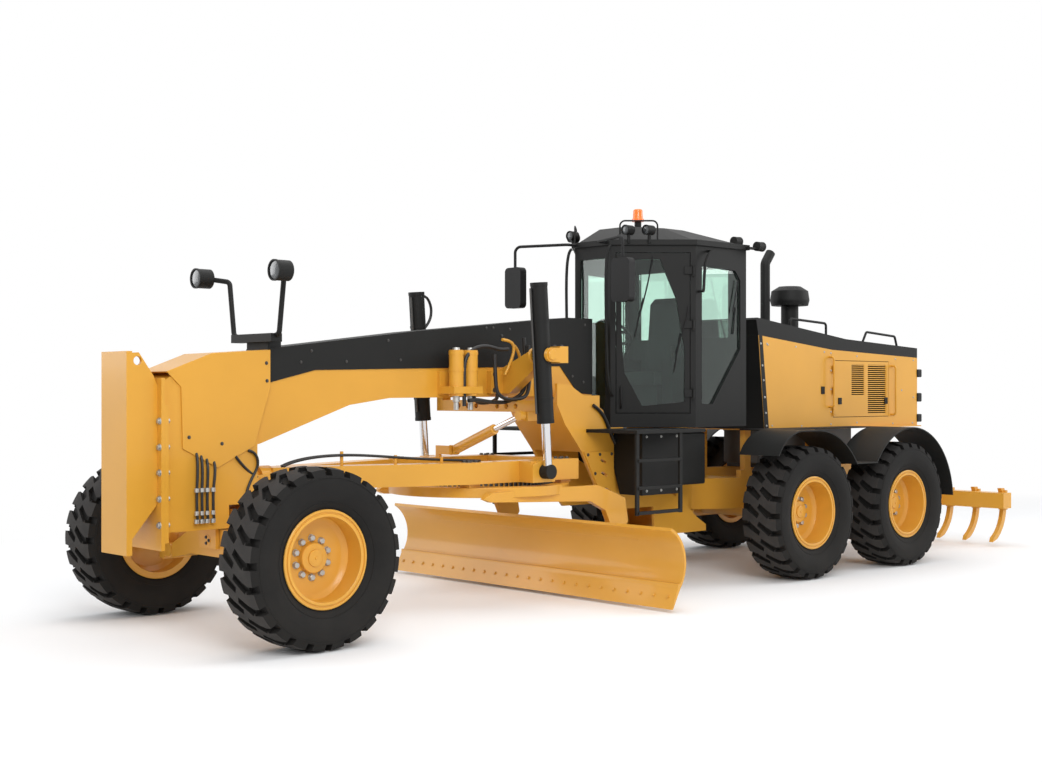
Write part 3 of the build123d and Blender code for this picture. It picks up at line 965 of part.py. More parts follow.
# Hood: side walls and front bulkhead with a door opening on each side; the dark top cover closes it
HOOD_SIDE = [(HOOD_FRONT, HOOD_BOTTOM_Z), (HOOD_FRONT - 95, 2384), (7040, 2260), (HOOD_REAR, 2200), (HOOD_REAR, HOOD_BOTTOM_Z)]
ENGINE_DOOR = ((7060, 8120), (1540, 2150))
GRILLES = ((7400, 7640, 1780, 2110), (7710, 8060, 1580, 2110))
SLAT = 9
SLAT_PITCH = 22
HOOD_DOOR_GAP = 6
HOOD_PIN = (HOOD_HALF_WIDTH + 12, ENGINE_DOOR[0][0] - 10)
HOOD_PIN_RADIUS = 6
HOOD_HINGES_Z = (1600, 1825, 2050)
GRAB_HANDLES = ((6988, 1653, 2182), (8165, 1560, 2100))
with BuildPart() as hood:
    prism(side_view(-HOOD_HALF_WIDTH), HOOD_SIDE, 2 * HOOD_HALF_WIDTH)
    prism(side_view(-HOOD_HALF_WIDTH + HOOD_WALL), [
        (HOOD_FRONT + HOOD_WALL, HOOD_BOTTOM_Z - 10), (HOOD_FRONT - 95 + HOOD_WALL, 2500), (HOOD_REAR + 10, 2500),
        (HOOD_REAR + 10, HOOD_BOTTOM_Z - 10)], 2 * (HOOD_HALF_WIDTH - HOOD_WALL), mode=Mode.SUBTRACT)
    block((-700, 700), *ENGINE_DOOR, mode=Mode.SUBTRACT)
    for side in (1, -1):
        for z in HOOD_HINGES_Z:
            rod((side * HOOD_PIN[0], HOOD_PIN[1], z - 42), (side * HOOD_PIN[0], HOOD_PIN[1], z + 42), HOOD_PIN_RADIUS)
            for ear in (z - 42, z + 27):
                block(sorted((side * (HOOD_HALF_WIDTH - 1), side * (HOOD_HALF_WIDTH + 20))), (HOOD_PIN[1] - 9, HOOD_PIN[1] + 9),
                      (ear, ear + 15))
        near, far = side * (HOOD_HALF_WIDTH - 5), side * (HOOD_HALF_WIDTH + 62)
        for station, low, high in GRAB_HANDLES:
            pipe([(near, station, high), (far, station, high), (far, station, low), (near, station, low)], 12, 30)
save(hood, "hood")
with BuildPart() as hood_door:
    for z in HOOD_HINGES_Z:
        block((HOOD_HALF_WIDTH - 1, HOOD_HALF_WIDTH + 17), (ENGINE_DOOR[0][0] + HOOD_DOOR_GAP, ENGINE_DOOR[0][0] + 50), (z - 25, z + 25))
        block((HOOD_HALF_WIDTH + 7, HOOD_HALF_WIDTH + 17), (HOOD_PIN[1], ENGINE_DOOR[0][0] + 50), (z - 25, z + 25))
        rod((*HOOD_PIN, z - 25), (*HOOD_PIN, z + 25), 10)
        rod((*HOOD_PIN, z - 30), (*HOOD_PIN, z + 30), HOOD_PIN_RADIUS + RUNNING_CLEARANCE, mode=Mode.SUBTRACT)
    block((HOOD_HALF_WIDTH - HOOD_WALL, HOOD_HALF_WIDTH), (ENGINE_DOOR[0][0] + HOOD_DOOR_GAP, ENGINE_DOOR[0][1] - HOOD_DOOR_GAP),
          (ENGINE_DOOR[1][0] + HOOD_DOOR_GAP, ENGINE_DOOR[1][1] - HOOD_DOOR_GAP))
    for front, rear, low, high in GRILLES:
        block((HOOD_HALF_WIDTH - HOOD_WALL - 1, HOOD_HALF_WIDTH + 1), (front, rear), (low, high), mode=Mode.SUBTRACT)
        for number in range(int((high - low) / SLAT_PITCH)):
            z = low + (number + 0.5) * SLAT_PITCH
            block((HOOD_HALF_WIDTH - HOOD_WALL + 2, HOOD_HALF_WIDTH - 2), (front - 2, rear + 2), (z, z + SLAT))
save(hood_door, "hood_door_left")
with BuildPart() as hood_door_right:
    mirror(hood_door.part, about=Plane.YZ)
save(hood_door_right, "hood_door_right")

COVER_SIDE = [(HOOD_FRONT - 95, 2384), (7040, 2260), (HOOD_REAR, 2200), (HOOD_REAR, 2310), (7300, 2380), (HOOD_FRONT - 110, 2560),
              (HOOD_FRONT - 130, 2540)]
RAIL_SIDE_X = 600
HANDRAILS = (
    ((6353, 2470), (6353, 2570), (6986, 2540), (6986, 2400)),
    ((7656, 2340), (7740, 2470), (8300, 2435), (8348, 2310)),
)
STACK_PLACE = (-60, 6800)
STACK_RADIUS = 52
with BuildPart() as hood_cover:
    prism(side_view(-HOOD_HALF_WIDTH), COVER_SIDE, 2 * HOOD_HALF_WIDTH)
    block((-HOOD_HALF_WIDTH + HOOD_WALL, HOOD_HALF_WIDTH - HOOD_WALL), (HOOD_REAR - 30, HOOD_REAR), (HOOD_BOTTOM_Z, 2205))
    pipe([(*STACK_PLACE, 2350), (*STACK_PLACE, 3210), (STACK_PLACE[0], STACK_PLACE[1] + 95, 3330)], STACK_RADIUS, 80)
    turned((0, aft(7160), 2300), (0, 0, 1), [(0, 0), (0, 95), (460, 95), (460, 200), (520, 215), (620, 200), (670, 120), (670, 0)])
    for side in (1, -1):
        for rail in HANDRAILS:
            pipe([(side * RAIL_SIDE_X, y, z) for y, z in rail], 13, 35)
save(hood_cover, "hood_cover")

# Fenders: rolled plates over the tandem wheels, a flat tread plate ahead of them and one inboard
FENDER_VALLEY_Z = AXLE_Z + 450
VALLEY_REACH = sqrt(FENDER_RADIUS ** 2 - 450 ** 2)
FENDER_FRONT_AFT = 5100
FENDER_FRONT_Z = 1212
ROLL_START_AFT = 5460
FENDER_END_Z = 700
MIDDLE_AFT = WHEELBASE - TANDEM_PITCH / 2
REAR_AFT = WHEELBASE + TANDEM_PITCH / 2
FENDER_TOP = (AXLE_Z + FENDER_RADIUS, AXLE_Z + FENDER_RADIUS + FENDER_THICKNESS)
with BuildPart() as fender:
    for station, ahead_z, behind_z in ((MIDDLE_AFT, None, FENDER_VALLEY_Z), (REAR_AFT, FENDER_VALLEY_Z, FENDER_END_Z)):
        with BuildSketch(side_view(FENDER_IN)) as arch:
            with Locations((station, AXLE_Z)):
                Circle(FENDER_RADIUS + FENDER_THICKNESS)
                Circle(FENDER_RADIUS, mode=Mode.SUBTRACT)
            for low, high, cut_z in ((station - 1000, station, ahead_z), (station, station + 1000, behind_z)):
                top_z = cut_z or FENDER_TOP[1] + 10
                with Locations(((low + high) / 2, (top_z - 500) / 2)):
                    Rectangle(high - low, top_z + 500, mode=Mode.SUBTRACT)
        extrude(arch.sketch, amount=FENDER_OUT - FENDER_IN)
    block((FENDER_IN, FENDER_OUT), (MIDDLE_AFT + VALLEY_REACH - 5, REAR_AFT - VALLEY_REACH + 5),
          (FENDER_VALLEY_Z, FENDER_VALLEY_Z + FENDER_THICKNESS))
    block((650, FENDER_IN + 5), (ROLL_START_AFT, REAR_AFT), FENDER_TOP)
    with BuildSketch(side_view(FENDER_IN)) as roll:
        with BuildLine():
            Line((MIDDLE_AFT, FENDER_TOP[1]), (ROLL_START_AFT, FENDER_TOP[1]))
            ThreePointArc((ROLL_START_AFT, FENDER_TOP[1]), (5245, 1372), (FENDER_FRONT_AFT, FENDER_FRONT_Z))
            Line((FENDER_FRONT_AFT, FENDER_FRONT_Z), (FENDER_FRONT_AFT + FENDER_THICKNESS, FENDER_FRONT_Z))
            ThreePointArc((FENDER_FRONT_AFT + FENDER_THICKNESS, FENDER_FRONT_Z), (5253, 1363), (ROLL_START_AFT, FENDER_TOP[0]))
            Line((ROLL_START_AFT, FENDER_TOP[0]), (MIDDLE_AFT, FENDER_TOP[0]))
            Line((MIDDLE_AFT, FENDER_TOP[0]), (MIDDLE_AFT, FENDER_TOP[1]))
        make_face()
    extrude(roll.sketch, amount=FENDER_OUT - FENDER_IN)
with BuildPart() as fenders:
    add(fender.part)
    mirror(about=Plane.YZ)
save(fenders, "fenders")

# Ripper: a pivoted frame with a toolbar and seven curved shanks
BAR_AFT = REAR_FRAME_END + 820
BAR_Z = 450
BAR_SIZE = 180
RIPPER_EYE = (BAR_AFT - 160, BAR_Z + 190)
SHANK_TOP_Z = BAR_Z + BAR_SIZE + 50
SHANK_TIP_Z = 60
SHANK_THICKNESS = 50
POCKET_WALL = 22
RIPPER_LEVER_X = (40, 65)
with BuildPart() as ripper_frame:
    block((-RIPPER_BEAM_HALF, RIPPER_BEAM_HALF), (BAR_AFT, BAR_AFT + BAR_SIZE), (BAR_Z, BAR_Z + BAR_SIZE))
    for low in (RIPPER_ARM_X[0], -RIPPER_ARM_X[1]):
        prism(side_view(low), [
            (RIPPER_PIVOT[0], RIPPER_PIVOT[1] - 50), (BAR_AFT + 5, BAR_Z), (BAR_AFT + 5, BAR_Z + BAR_SIZE),
            (BAR_AFT - 320, BAR_Z + BAR_SIZE + 160), (RIPPER_PIVOT[0], RIPPER_PIVOT[1] + 50),
        ], RIPPER_ARM_X[1] - RIPPER_ARM_X[0])
        rod((low, *RIPPER_PIVOT), (low + 50, *RIPPER_PIVOT), 50)
        rod((low - 1, *RIPPER_PIVOT), (low + 51, *RIPPER_PIVOT), RIPPER_PIN + RUNNING_CLEARANCE, mode=Mode.SUBTRACT)
    for number in range(SHANK_COUNT):
        x = (number - (SHANK_COUNT - 1) / 2) * SHANK_PITCH - SHANK_THICKNESS / 2
        with BuildSketch(side_view(x)) as shank:
            with BuildLine():
                top_front, top_rear = (BAR_AFT + 110, SHANK_TOP_Z), (BAR_AFT + 185, SHANK_TOP_Z)
                heel, tip, toe = (BAR_AFT + 20, SHANK_TIP_Z + 30), (BAR_AFT - 80, SHANK_TIP_Z), (BAR_AFT - 60, SHANK_TIP_Z + 50)
                Line(top_front, top_rear)
                ThreePointArc(top_rear, (BAR_AFT + 210, BAR_Z - 120), heel)
                Line(heel, tip)
                Line(tip, toe)
                ThreePointArc(toe, (BAR_AFT + 140, BAR_Z - 110), top_front)
            make_face()
        extrude(shank.sketch, amount=SHANK_THICKNESS)
        block((x - POCKET_WALL, x + SHANK_THICKNESS + POCKET_WALL), (BAR_AFT + BAR_SIZE - 5, BAR_AFT + BAR_SIZE + 40),
              (BAR_Z - 25, BAR_Z + BAR_SIZE + 25))
    prism(side_view(RIPPER_LEVER_X[0]), [
        (RIPPER_EYE[0] - 60, RIPPER_EYE[1] + 50), (RIPPER_EYE[0] + 60, RIPPER_EYE[1] + 50),
        (BAR_AFT + 5, BAR_Z + 110), (BAR_AFT + 5, BAR_Z + 10),
        (RIPPER_EYE[0] - 60, RIPPER_EYE[1] - 60)], RIPPER_LEVER_X[1] - RIPPER_LEVER_X[0])
save(ripper_frame, "ripper_frame")

# Ripper cylinder: barrel on the rear frame's upper pin, rod eye beside the toolbar's lever
RIPPER_TUBE = 62
RIPPER_ROD = 32
RIPPER_BARREL_END = 590
ripper_span = hypot(RIPPER_EYE[0] - RIPPER_TOP[0], RIPPER_EYE[1] - RIPPER_TOP[1])


def ripper_point(distance):
    """A point on the ripper cylinder's centre line, measured from its upper pin."""
    part = distance / ripper_span
    return (0, RIPPER_TOP[0] + (RIPPER_EYE[0] - RIPPER_TOP[0]) * part, RIPPER_TOP[1] + (RIPPER_EYE[1] - RIPPER_TOP[1]) * part)


with BuildPart() as ripper_barrel:
    rod(ripper_point(70), ripper_point(RIPPER_BARREL_END), RIPPER_TUBE)
    rod(ripper_point(20), ripper_point(90), 30)
    rod((-34, *RIPPER_TOP), (34, *RIPPER_TOP), 52)
    rod((-40, *RIPPER_TOP), (40, *RIPPER_TOP), RIPPER_PIN + RUNNING_CLEARANCE, mode=Mode.SUBTRACT)
    rod(ripper_point(100), ripper_point(RIPPER_BARREL_END + 1), RIPPER_ROD + RUNNING_CLEARANCE, mode=Mode.SUBTRACT)
save(ripper_barrel, "ripper_barrel")
with BuildPart() as ripper_rod:
    rod(ripper_point(330), ripper_point(ripper_span - 30), RIPPER_ROD)
    rod((-35, *RIPPER_EYE), (35, *RIPPER_EYE), 52)
save(ripper_rod, "ripper_rod")
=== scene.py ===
import json
from math import cos, pi, radians, sin, sqrt

import bmesh
import bpy
from mathutils import Matrix, Vector

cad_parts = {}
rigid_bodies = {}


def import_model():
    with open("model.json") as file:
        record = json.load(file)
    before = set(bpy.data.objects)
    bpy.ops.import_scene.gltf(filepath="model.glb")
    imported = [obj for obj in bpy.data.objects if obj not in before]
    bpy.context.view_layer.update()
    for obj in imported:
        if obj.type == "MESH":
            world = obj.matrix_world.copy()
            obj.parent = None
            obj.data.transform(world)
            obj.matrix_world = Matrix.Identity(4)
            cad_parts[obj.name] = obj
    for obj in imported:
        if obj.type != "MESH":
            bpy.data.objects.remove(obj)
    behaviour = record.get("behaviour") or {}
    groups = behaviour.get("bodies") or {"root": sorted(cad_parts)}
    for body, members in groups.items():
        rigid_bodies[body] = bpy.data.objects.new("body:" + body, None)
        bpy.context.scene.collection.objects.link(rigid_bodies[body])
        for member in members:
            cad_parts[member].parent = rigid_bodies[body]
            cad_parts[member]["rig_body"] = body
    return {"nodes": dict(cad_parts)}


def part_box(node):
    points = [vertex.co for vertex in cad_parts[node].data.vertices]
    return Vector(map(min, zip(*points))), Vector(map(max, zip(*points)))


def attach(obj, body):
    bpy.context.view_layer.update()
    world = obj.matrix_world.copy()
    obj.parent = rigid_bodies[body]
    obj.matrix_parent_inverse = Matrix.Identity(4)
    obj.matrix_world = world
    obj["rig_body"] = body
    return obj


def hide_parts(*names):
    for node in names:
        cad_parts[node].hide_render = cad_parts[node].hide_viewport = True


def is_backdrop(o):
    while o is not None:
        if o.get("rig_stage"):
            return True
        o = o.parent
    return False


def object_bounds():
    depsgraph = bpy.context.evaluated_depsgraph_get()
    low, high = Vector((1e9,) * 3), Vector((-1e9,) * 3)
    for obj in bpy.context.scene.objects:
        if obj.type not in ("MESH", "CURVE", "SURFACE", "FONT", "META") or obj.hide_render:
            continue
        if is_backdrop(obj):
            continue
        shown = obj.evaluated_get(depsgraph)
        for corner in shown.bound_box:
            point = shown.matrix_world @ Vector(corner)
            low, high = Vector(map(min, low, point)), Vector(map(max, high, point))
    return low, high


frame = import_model()
cad_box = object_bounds()

# Places are read as a fitter would measure them: x to the machine's left, metres behind the front axle,
# and metres above the ground. spot() puts such a place in the frame that all pieces share.
hub_low, hub_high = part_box("tyre_front_left")
FRONT_AXLE = (hub_low.y + hub_high.y) / 2
SIDES = (("left", 1), ("right", -1))


def spot(x, aft, z):
    """A point x to the left, aft of the front axle, z above the ground, in metres."""
    return Vector((x, FRONT_AXLE + aft, z))


def linked(name, data):
    """A new object in the scene."""
    piece = bpy.data.objects.new(name, data)
    bpy.context.scene.collection.objects.link(piece)
    return piece


# The camera stands ahead of the left front wheel at head height, with a long lens held level. Four soft
# boxes light the machine. The floor is a pale sweep that keeps the shadow and fades to white further out.
CAMERA_PLACE = (9.673, -5.9185, 1.822)
CAMERA_TURN = radians(46.97)
LENS = 50.17
FLOOR_HALF = 90
FADE_START = 4.2
FADE_END = 7.5
lens_data = bpy.data.cameras.new("photo_camera")
lens_data.lens = LENS
lens_data.sensor_width = 36
lens_data.clip_end = 300
camera = linked("photo_camera", lens_data)
camera.location = spot(*CAMERA_PLACE)
camera.rotation_euler = (pi / 2, 0, CAMERA_TURN)
bpy.context.scene.camera = camera
bpy.context.scene.view_settings.view_transform = "Standard"

NOSE, TAIL, GROUND = (0, -1, 1.4), (0, 2, 1.4), (0, 0, 0)
for name, place, target, size, watts in (
    ("key_left_front", (14, -10, 10), NOSE, 8, 1500), ("overhead", (0, 0, 13), GROUND, 14, 900),
    ("fill_right_front", (-13, -11, 6), NOSE, 8, 500), ("rim_rear", (9, 14, 8), TAIL, 8, 700),
):
    softbox = bpy.data.lights.new(name, "AREA")
    softbox.shape = "SQUARE"
    softbox.size = size
    softbox.energy = watts
    holder = linked(name, softbox)
    holder.location = place
    holder.rotation_euler = (Vector(target) - Vector(place)).to_track_quat("-Z", "Y").to_euler()


def math_node(tree, operation, *values):
    """A Math node; each value is a number or a socket."""
    node = tree.nodes.new("ShaderNodeMath")
    node.operation = operation
    for slot, value in enumerate(values):
        if isinstance(value, bpy.types.NodeSocket):
            tree.links.new(value, node.inputs[slot])
        else:
            node.inputs[slot].default_value = value
    return node.outputs[0]


def white_where_seen(tree, shader, surface, mask=1.0):
    """Mixes in plain white where a camera, glossy or transmitted ray meets the surface, times a mask."""
    path = tree.nodes.new("ShaderNodeLightPath")
    seen = math_node(tree, "MAXIMUM", path.outputs["Is Camera Ray"], path.outputs["Is Glossy Ray"])
    seen = math_node(tree, "MAXIMUM", seen, path.outputs["Is Transmission Ray"])
    on_floor = surface.node.type == "OUTPUT_MATERIAL"
    white = tree.nodes.new("ShaderNodeEmission" if on_floor else "ShaderNodeBackground")
    white.inputs["Color"].default_value = (1, 1, 1, 1)
    mix = tree.nodes.new("ShaderNodeMixShader")
    tree.links.new(math_node(tree, "MULTIPLY", seen, mask), mix.inputs[0])
    tree.links.new(shader.outputs[0], mix.inputs[1])
    tree.links.new(white.outputs[0], mix.inputs[2])
    tree.links.new(mix.outputs[0], surface)


world = bpy.data.worlds.new("studio")
world.use_nodes = True
bpy.context.scene.world = world
sky = world.node_tree.nodes["Background"]
sky.inputs["Color"].default_value = (0.95, 0.97, 1, 1)
sky.inputs["Strength"].default_value = 0.55
white_where_seen(world.node_tree, sky, world.node_tree.nodes["World Output"].inputs["Surface"])

FLOOR_CORNERS = [(x * FLOOR_HALF, y * FLOOR_HALF, 0) for x, y in ((-1, -1), (1, -1), (1, 1), (-1, 1))]
floor_mesh = bpy.data.meshes.new("floor")
floor_mesh.from_pydata(FLOOR_CORNERS, [], [(0, 1, 2, 3)])
floor = linked("floor", floor_mesh)
pale = bpy.data.materials.new("pale_floor")
pale.use_nodes = True
pale_tree = pale.node_tree
pale_shader = pale_tree.nodes["Principled BSDF"]
pale_shader.inputs["Base Color"].default_value = (0.93, 0.93, 0.93, 1)
pale_shader.inputs["Roughness"].default_value = 0.9
floor_place = pale_tree.nodes.new("ShaderNodeTexCoord")
flattened = pale_tree.nodes.new("ShaderNodeVectorMath")
flattened.operation = "MULTIPLY"
flattened.inputs[1].default_value = (1, 0.5, 0)
pale_tree.links.new(floor_place.outputs["Object"], flattened.inputs[0])
reach = pale_tree.nodes.new("ShaderNodeVectorMath")
reach.operation = "LENGTH"
pale_tree.links.new(flattened.outputs[0], reach.inputs[0])
fade = pale_tree.nodes.new("ShaderNodeMapRange")
fade.inputs["From Min"].default_value = FADE_START
fade.inputs["From Max"].default_value = FADE_END
pale_tree.links.new(reach.outputs["Value"], fade.inputs["Value"])
pale_surface = pale_tree.nodes["Material Output"].inputs["Surface"]
white_where_seen(pale_tree, pale_shader, pale_surface, fade.outputs["Result"])
floor_mesh.materials.append(pale)
floor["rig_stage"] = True


# Yellow steelwork. Front frame, axle, drawbar, circle, blade, yoke, rear frame and ripper are welded from
# cut plate, shot-blasted and sprayed. Every plate leaves the shop with broken edges, and the paint's
# colour drifts a little from panel to panel, with orange peel and a thin film of dust low down.
def new_socket(tree, name, kind, direction, value=None):
    """A named input or output of a node group."""
    socket = tree.interface.new_socket(name=name, in_out=direction, socket_type=kind)
    if value is not None:
        socket.default_value = value
    return socket


def weathered_group():
    """Shader group: colour, roughness and height of a surface that has seen a little use."""
    tree = bpy.data.node_groups.new("light_wear", "ShaderNodeTree")
    for name, kind, value in (
        ("Colour", "NodeSocketColor", (0.8, 0.8, 0.8, 1)), ("Dust", "NodeSocketColor", (0.5, 0.42, 0.3, 1)),
        ("Dust Amount", "NodeSocketFloat", 0.1), ("Drift", "NodeSocketFloat", 0.1),
        ("Roughness", "NodeSocketFloat", 0.4), ("Patch Scale", "NodeSocketFloat", 2.0),
        ("Grain Scale", "NodeSocketFloat", 400.0),
    ):
        new_socket(tree, name, kind, "INPUT", value)
    new_socket(tree, "Colour", "NodeSocketColor", "OUTPUT")
    new_socket(tree, "Roughness", "NodeSocketFloat", "OUTPUT")
    new_socket(tree, "Height", "NodeSocketFloat", "OUTPUT")
    nodes, links = tree.nodes, tree.links
    given, out = nodes.new("NodeGroupInput"), nodes.new("NodeGroupOutput")
    where = nodes.new("ShaderNodeTexCoord")
    patches, grain = nodes.new("ShaderNodeTexNoise"), nodes.new("ShaderNodeTexNoise")
    patches.inputs["Detail"].default_value = 6
    grain.inputs["Detail"].default_value = 2
    for noise, scale in ((patches, "Patch Scale"), (grain, "Grain Scale")):
        links.new(where.outputs["Object"], noise.inputs["Vector"])
        links.new(given.outputs[scale], noise.inputs["Scale"])
    drift = nodes.new("ShaderNodeMapRange")
    drift.inputs["From Min"].default_value = 0.3
    drift.inputs["From Max"].default_value = 0.7
    links.new(patches.outputs["Fac"], drift.inputs["Value"])
    links.new(math_node(tree, "SUBTRACT", 1, given.outputs["Drift"]), drift.inputs["To Min"])
    tint = nodes.new("ShaderNodeMix")
    tint.data_type, tint.blend_type = "RGBA", "MULTIPLY"
    tint.inputs["Factor"].default_value = 1
    links.new(given.outputs["Colour"], tint.inputs["A"])
    links.new(drift.outputs["Result"], tint.inputs["B"])
    height = nodes.new("ShaderNodeSeparateXYZ")
    links.new(where.outputs["Object"], height.inputs["Vector"])
    low_down = nodes.new("ShaderNodeMapRange")
    links.new(height.outputs["Z"], low_down.inputs["Value"])
    for socket, value in (("From Min", 0.1), ("From Max", 1.5), ("To Min", 1.0), ("To Max", 0.12)):
        low_down.inputs[socket].default_value = value
    film = math_node(tree, "MULTIPLY", low_down.outputs["Result"], patches.outputs["Fac"])
    dusty = nodes.new("ShaderNodeMix")
    dusty.data_type = "RGBA"
    links.new(math_node(tree, "MULTIPLY", film, given.outputs["Dust Amount"]), dusty.inputs["Factor"])
    links.new(tint.outputs["Result"], dusty.inputs["A"])
    links.new(given.outputs["Dust"], dusty.inputs["B"])
    rougher = math_node(tree, "MULTIPLY_ADD", patches.outputs["Fac"], 0.12, given.outputs["Roughness"])
    links.new(dusty.outputs["Result"], out.inputs["Colour"])
    links.new(rougher, out.inputs["Roughness"])
    links.new(grain.outputs["Fac"], out.inputs["Height"])
    return tree


light_wear = weathered_group()
DUST_COLOUR = (0.42, 0.36, 0.28, 1)


def finish(name, colour, roughness, dust=0.1, drift=0.08, grain=400, bump=0.02, patch=2.0, **sockets):
    """A finish from the light_wear group; extra arguments set the Principled shader's own sockets."""
    material = bpy.data.materials.new(name)
    material.use_nodes = True
    nodes, links = material.node_tree.nodes, material.node_tree.links
    shader = nodes["Principled BSDF"]
    wear = nodes.new("ShaderNodeGroup")
    wear.node_tree = light_wear
    for socket, value in (
        ("Colour", (*colour, 1)), ("Dust", DUST_COLOUR), ("Dust Amount", dust), ("Drift", drift),
        ("Roughness", roughness), ("Patch Scale", patch), ("Grain Scale", grain),
    ):
        wear.inputs[socket].default_value = value
    relief = nodes.new("ShaderNodeBump")
    relief.inputs["Strength"].default_value = bump
    relief.inputs["Distance"].default_value = 0.002
    links.new(wear.outputs["Colour"], shader.inputs["Base Color"])
    links.new(wear.outputs["Roughness"], shader.inputs["Roughness"])
    links.new(wear.outputs["Height"], relief.inputs["Height"])
    links.new(relief.outputs["Normal"], shader.inputs["Normal"])
    for socket, value in sockets.items():
        shader.inputs[socket.replace("_", " ")].default_value = value
    return material


FINISHES = {
    "yellow_paint": finish("yellow_paint", (0.71, 0.345, 0.034), 0.32, dust=0.10, drift=0.06, bump=0.1,
                           Coat_Weight=0.25, Coat_Roughness=0.12, Specular_IOR_Level=0.35),
}
SMOOTH_BELOW = 38


def settle(piece, name, body, slot, *replaced):
    """Names a finished piece, gives it its slot's finish when it has none, rides it on its body and hides the
    solids it stands for.
    """
    piece.name = name
    piece.data.name = name
    if not piece.data.materials:
        piece.data.materials.append(FINISHES[slot])
    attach(piece, body)
    if replaced:
        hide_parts(*replaced)
    return piece


def made_plain(piece):
    """A piece with its modifiers applied, or a curve turned into a mesh."""
    bpy.context.view_layer.update()
    seen = piece.evaluated_get(bpy.context.evaluated_depsgraph_get())
    mesh = bpy.data.meshes.new_from_object(seen)
    if piece.type == "MESH":
        piece.modifiers.clear()
        piece.data = mesh
        return piece
    bpy.data.objects.remove(piece)
    return linked("piece", mesh)


def softened(piece, angle=SMOOTH_BELOW):
    """Smooth shading below an angle in degrees."""
    piece.data.shade_smooth()
    piece.data.set_sharp_from_angle(angle=radians(angle))
    return piece


def broken_edges(piece, width, segments=2, angle=SMOOTH_BELOW):
    """Rounds a piece's sharp edges and keeps its flat faces flat to the light."""
    piece.data.shade_smooth()
    bevel = piece.modifiers.new("broken_edges", "BEVEL")
    bevel.width = width
    bevel.segments = segments
    bevel.limit_method = "ANGLE"
    bevel.angle_limit = radians(angle)
    flat = piece.modifiers.new("flat_faces", "WEIGHTED_NORMAL")
    flat.weight = 100
    flat.keep_sharp = True
    return made_plain(piece)


def merged_copy(node):
    """A CAD node's mesh with its triangles merged into flat faces, as a new object."""
    mesh = frame["nodes"][node].data.copy()
    mesh.materials.clear()
    soup = bmesh.new()
    soup.from_mesh(mesh)
    bmesh.ops.remove_doubles(soup, verts=soup.verts, dist=0.00002)
    bmesh.ops.dissolve_limit(soup, angle_limit=radians(1), verts=soup.verts, edges=soup.edges)
    soup.to_mesh(mesh)
    soup.free()
    return linked(node + "_copy", mesh)


def body_of(node):
    """The body that a CAD node rides on."""
    return frame["nodes"][node]["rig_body"]


def dressed(node, slot, width):
    """Stands a copy with broken edges in for a CAD node."""
    return settle(broken_edges(merged_copy(node), width), node + "_finished", body_of(node), slot, node)


for node, width in (
    ("front_frame", 0.005), ("head_shroud", 0.004), ("push_block", 0.008), ("accumulators", 0.006),
    ("lift_yoke", 0.010), ("front_axle", 0.008), ("axle_yoke_left", 0.008), ("axle_yoke_right", 0.008),
    ("lean_bar", 0.005), ("knuckle_left", 0.006), ("knuckle_right", 0.006), ("drawbar", 0.006),
    ("circle", 0.006), ("blade_carrier", 0.005), ("moldboard", 0.003), ("centre_shift_barrel", 0.004),
    ("rear_frame", 0.008), ("tandem_cases", 0.012), ("ripper_frame", 0.006), ("ripper_barrel", 0.003),
):
    dressed(node, "yellow_paint", width)


# Bolts: cold-headed hexagon bolts on washers, zinc-plated or dark steel, and the row along the cutting
# edge is sprayed with the blade. Each group is one mesh that Geometry Nodes makes from a list of places.
def bolt_tree():
    """Geometry Nodes: a chamfered hexagon head on a washer at every point, turned one way."""
    tree = bpy.data.node_groups.new("bolt_heads", "GeometryNodeTree")
    new_socket(tree, "Geometry", "NodeSocketGeometry", "INPUT")
    new_socket(tree, "Radius", "NodeSocketFloat", "INPUT", 0.012)
    new_socket(tree, "Height", "NodeSocketFloat", "INPUT", 0.012)
    new_socket(tree, "Turn", "NodeSocketVector", "INPUT", (0, 0, 0))
    new_socket(tree, "Material", "NodeSocketMaterial", "INPUT")
    new_socket(tree, "Geometry", "NodeSocketGeometry", "OUTPUT")
    nodes, links = tree.nodes, tree.links
    given, out = nodes.new("NodeGroupInput"), nodes.new("NodeGroupOutput")
    heads = nodes.new("GeometryNodeJoinGeometry")
    washer, flats, chamfer = (14, 0.0, 0.2, 1.45, 1.4), (6, 0.2, 0.85, 1.0, 1.0), (6, 0.85, 1.0, 1.0, 0.8)
    for sides, foot, top, wide, narrow in (washer, flats, chamfer):
        step = nodes.new("GeometryNodeMeshCone")
        step.inputs["Vertices"].default_value = sides
        links.new(math_node(tree, "MULTIPLY", given.outputs["Radius"], wide), step.inputs["Radius Bottom"])
        links.new(math_node(tree, "MULTIPLY", given.outputs["Radius"], narrow), step.inputs["Radius Top"])
        links.new(math_node(tree, "MULTIPLY", given.outputs["Height"], top - foot), step.inputs["Depth"])
        lift = nodes.new("ShaderNodeCombineXYZ")
        links.new(math_node(tree, "MULTIPLY", given.outputs["Height"], foot), lift.inputs["Z"])
        raised = nodes.new("GeometryNodeTransform")
        links.new(step.outputs["Mesh"], raised.inputs["Geometry"])
        links.new(lift.outputs[0], raised.inputs["Translation"])
        links.new(raised.outputs[0], heads.inputs[0])
    copies = nodes.new("GeometryNodeInstanceOnPoints")
    links.new(given.outputs["Geometry"], copies.inputs["Points"])
    links.new(heads.outputs[0], copies.inputs["Instance"])
    links.new(given.outputs["Turn"], copies.inputs["Rotation"])
    return finished_tree(tree, given, out, copies.outputs[0])


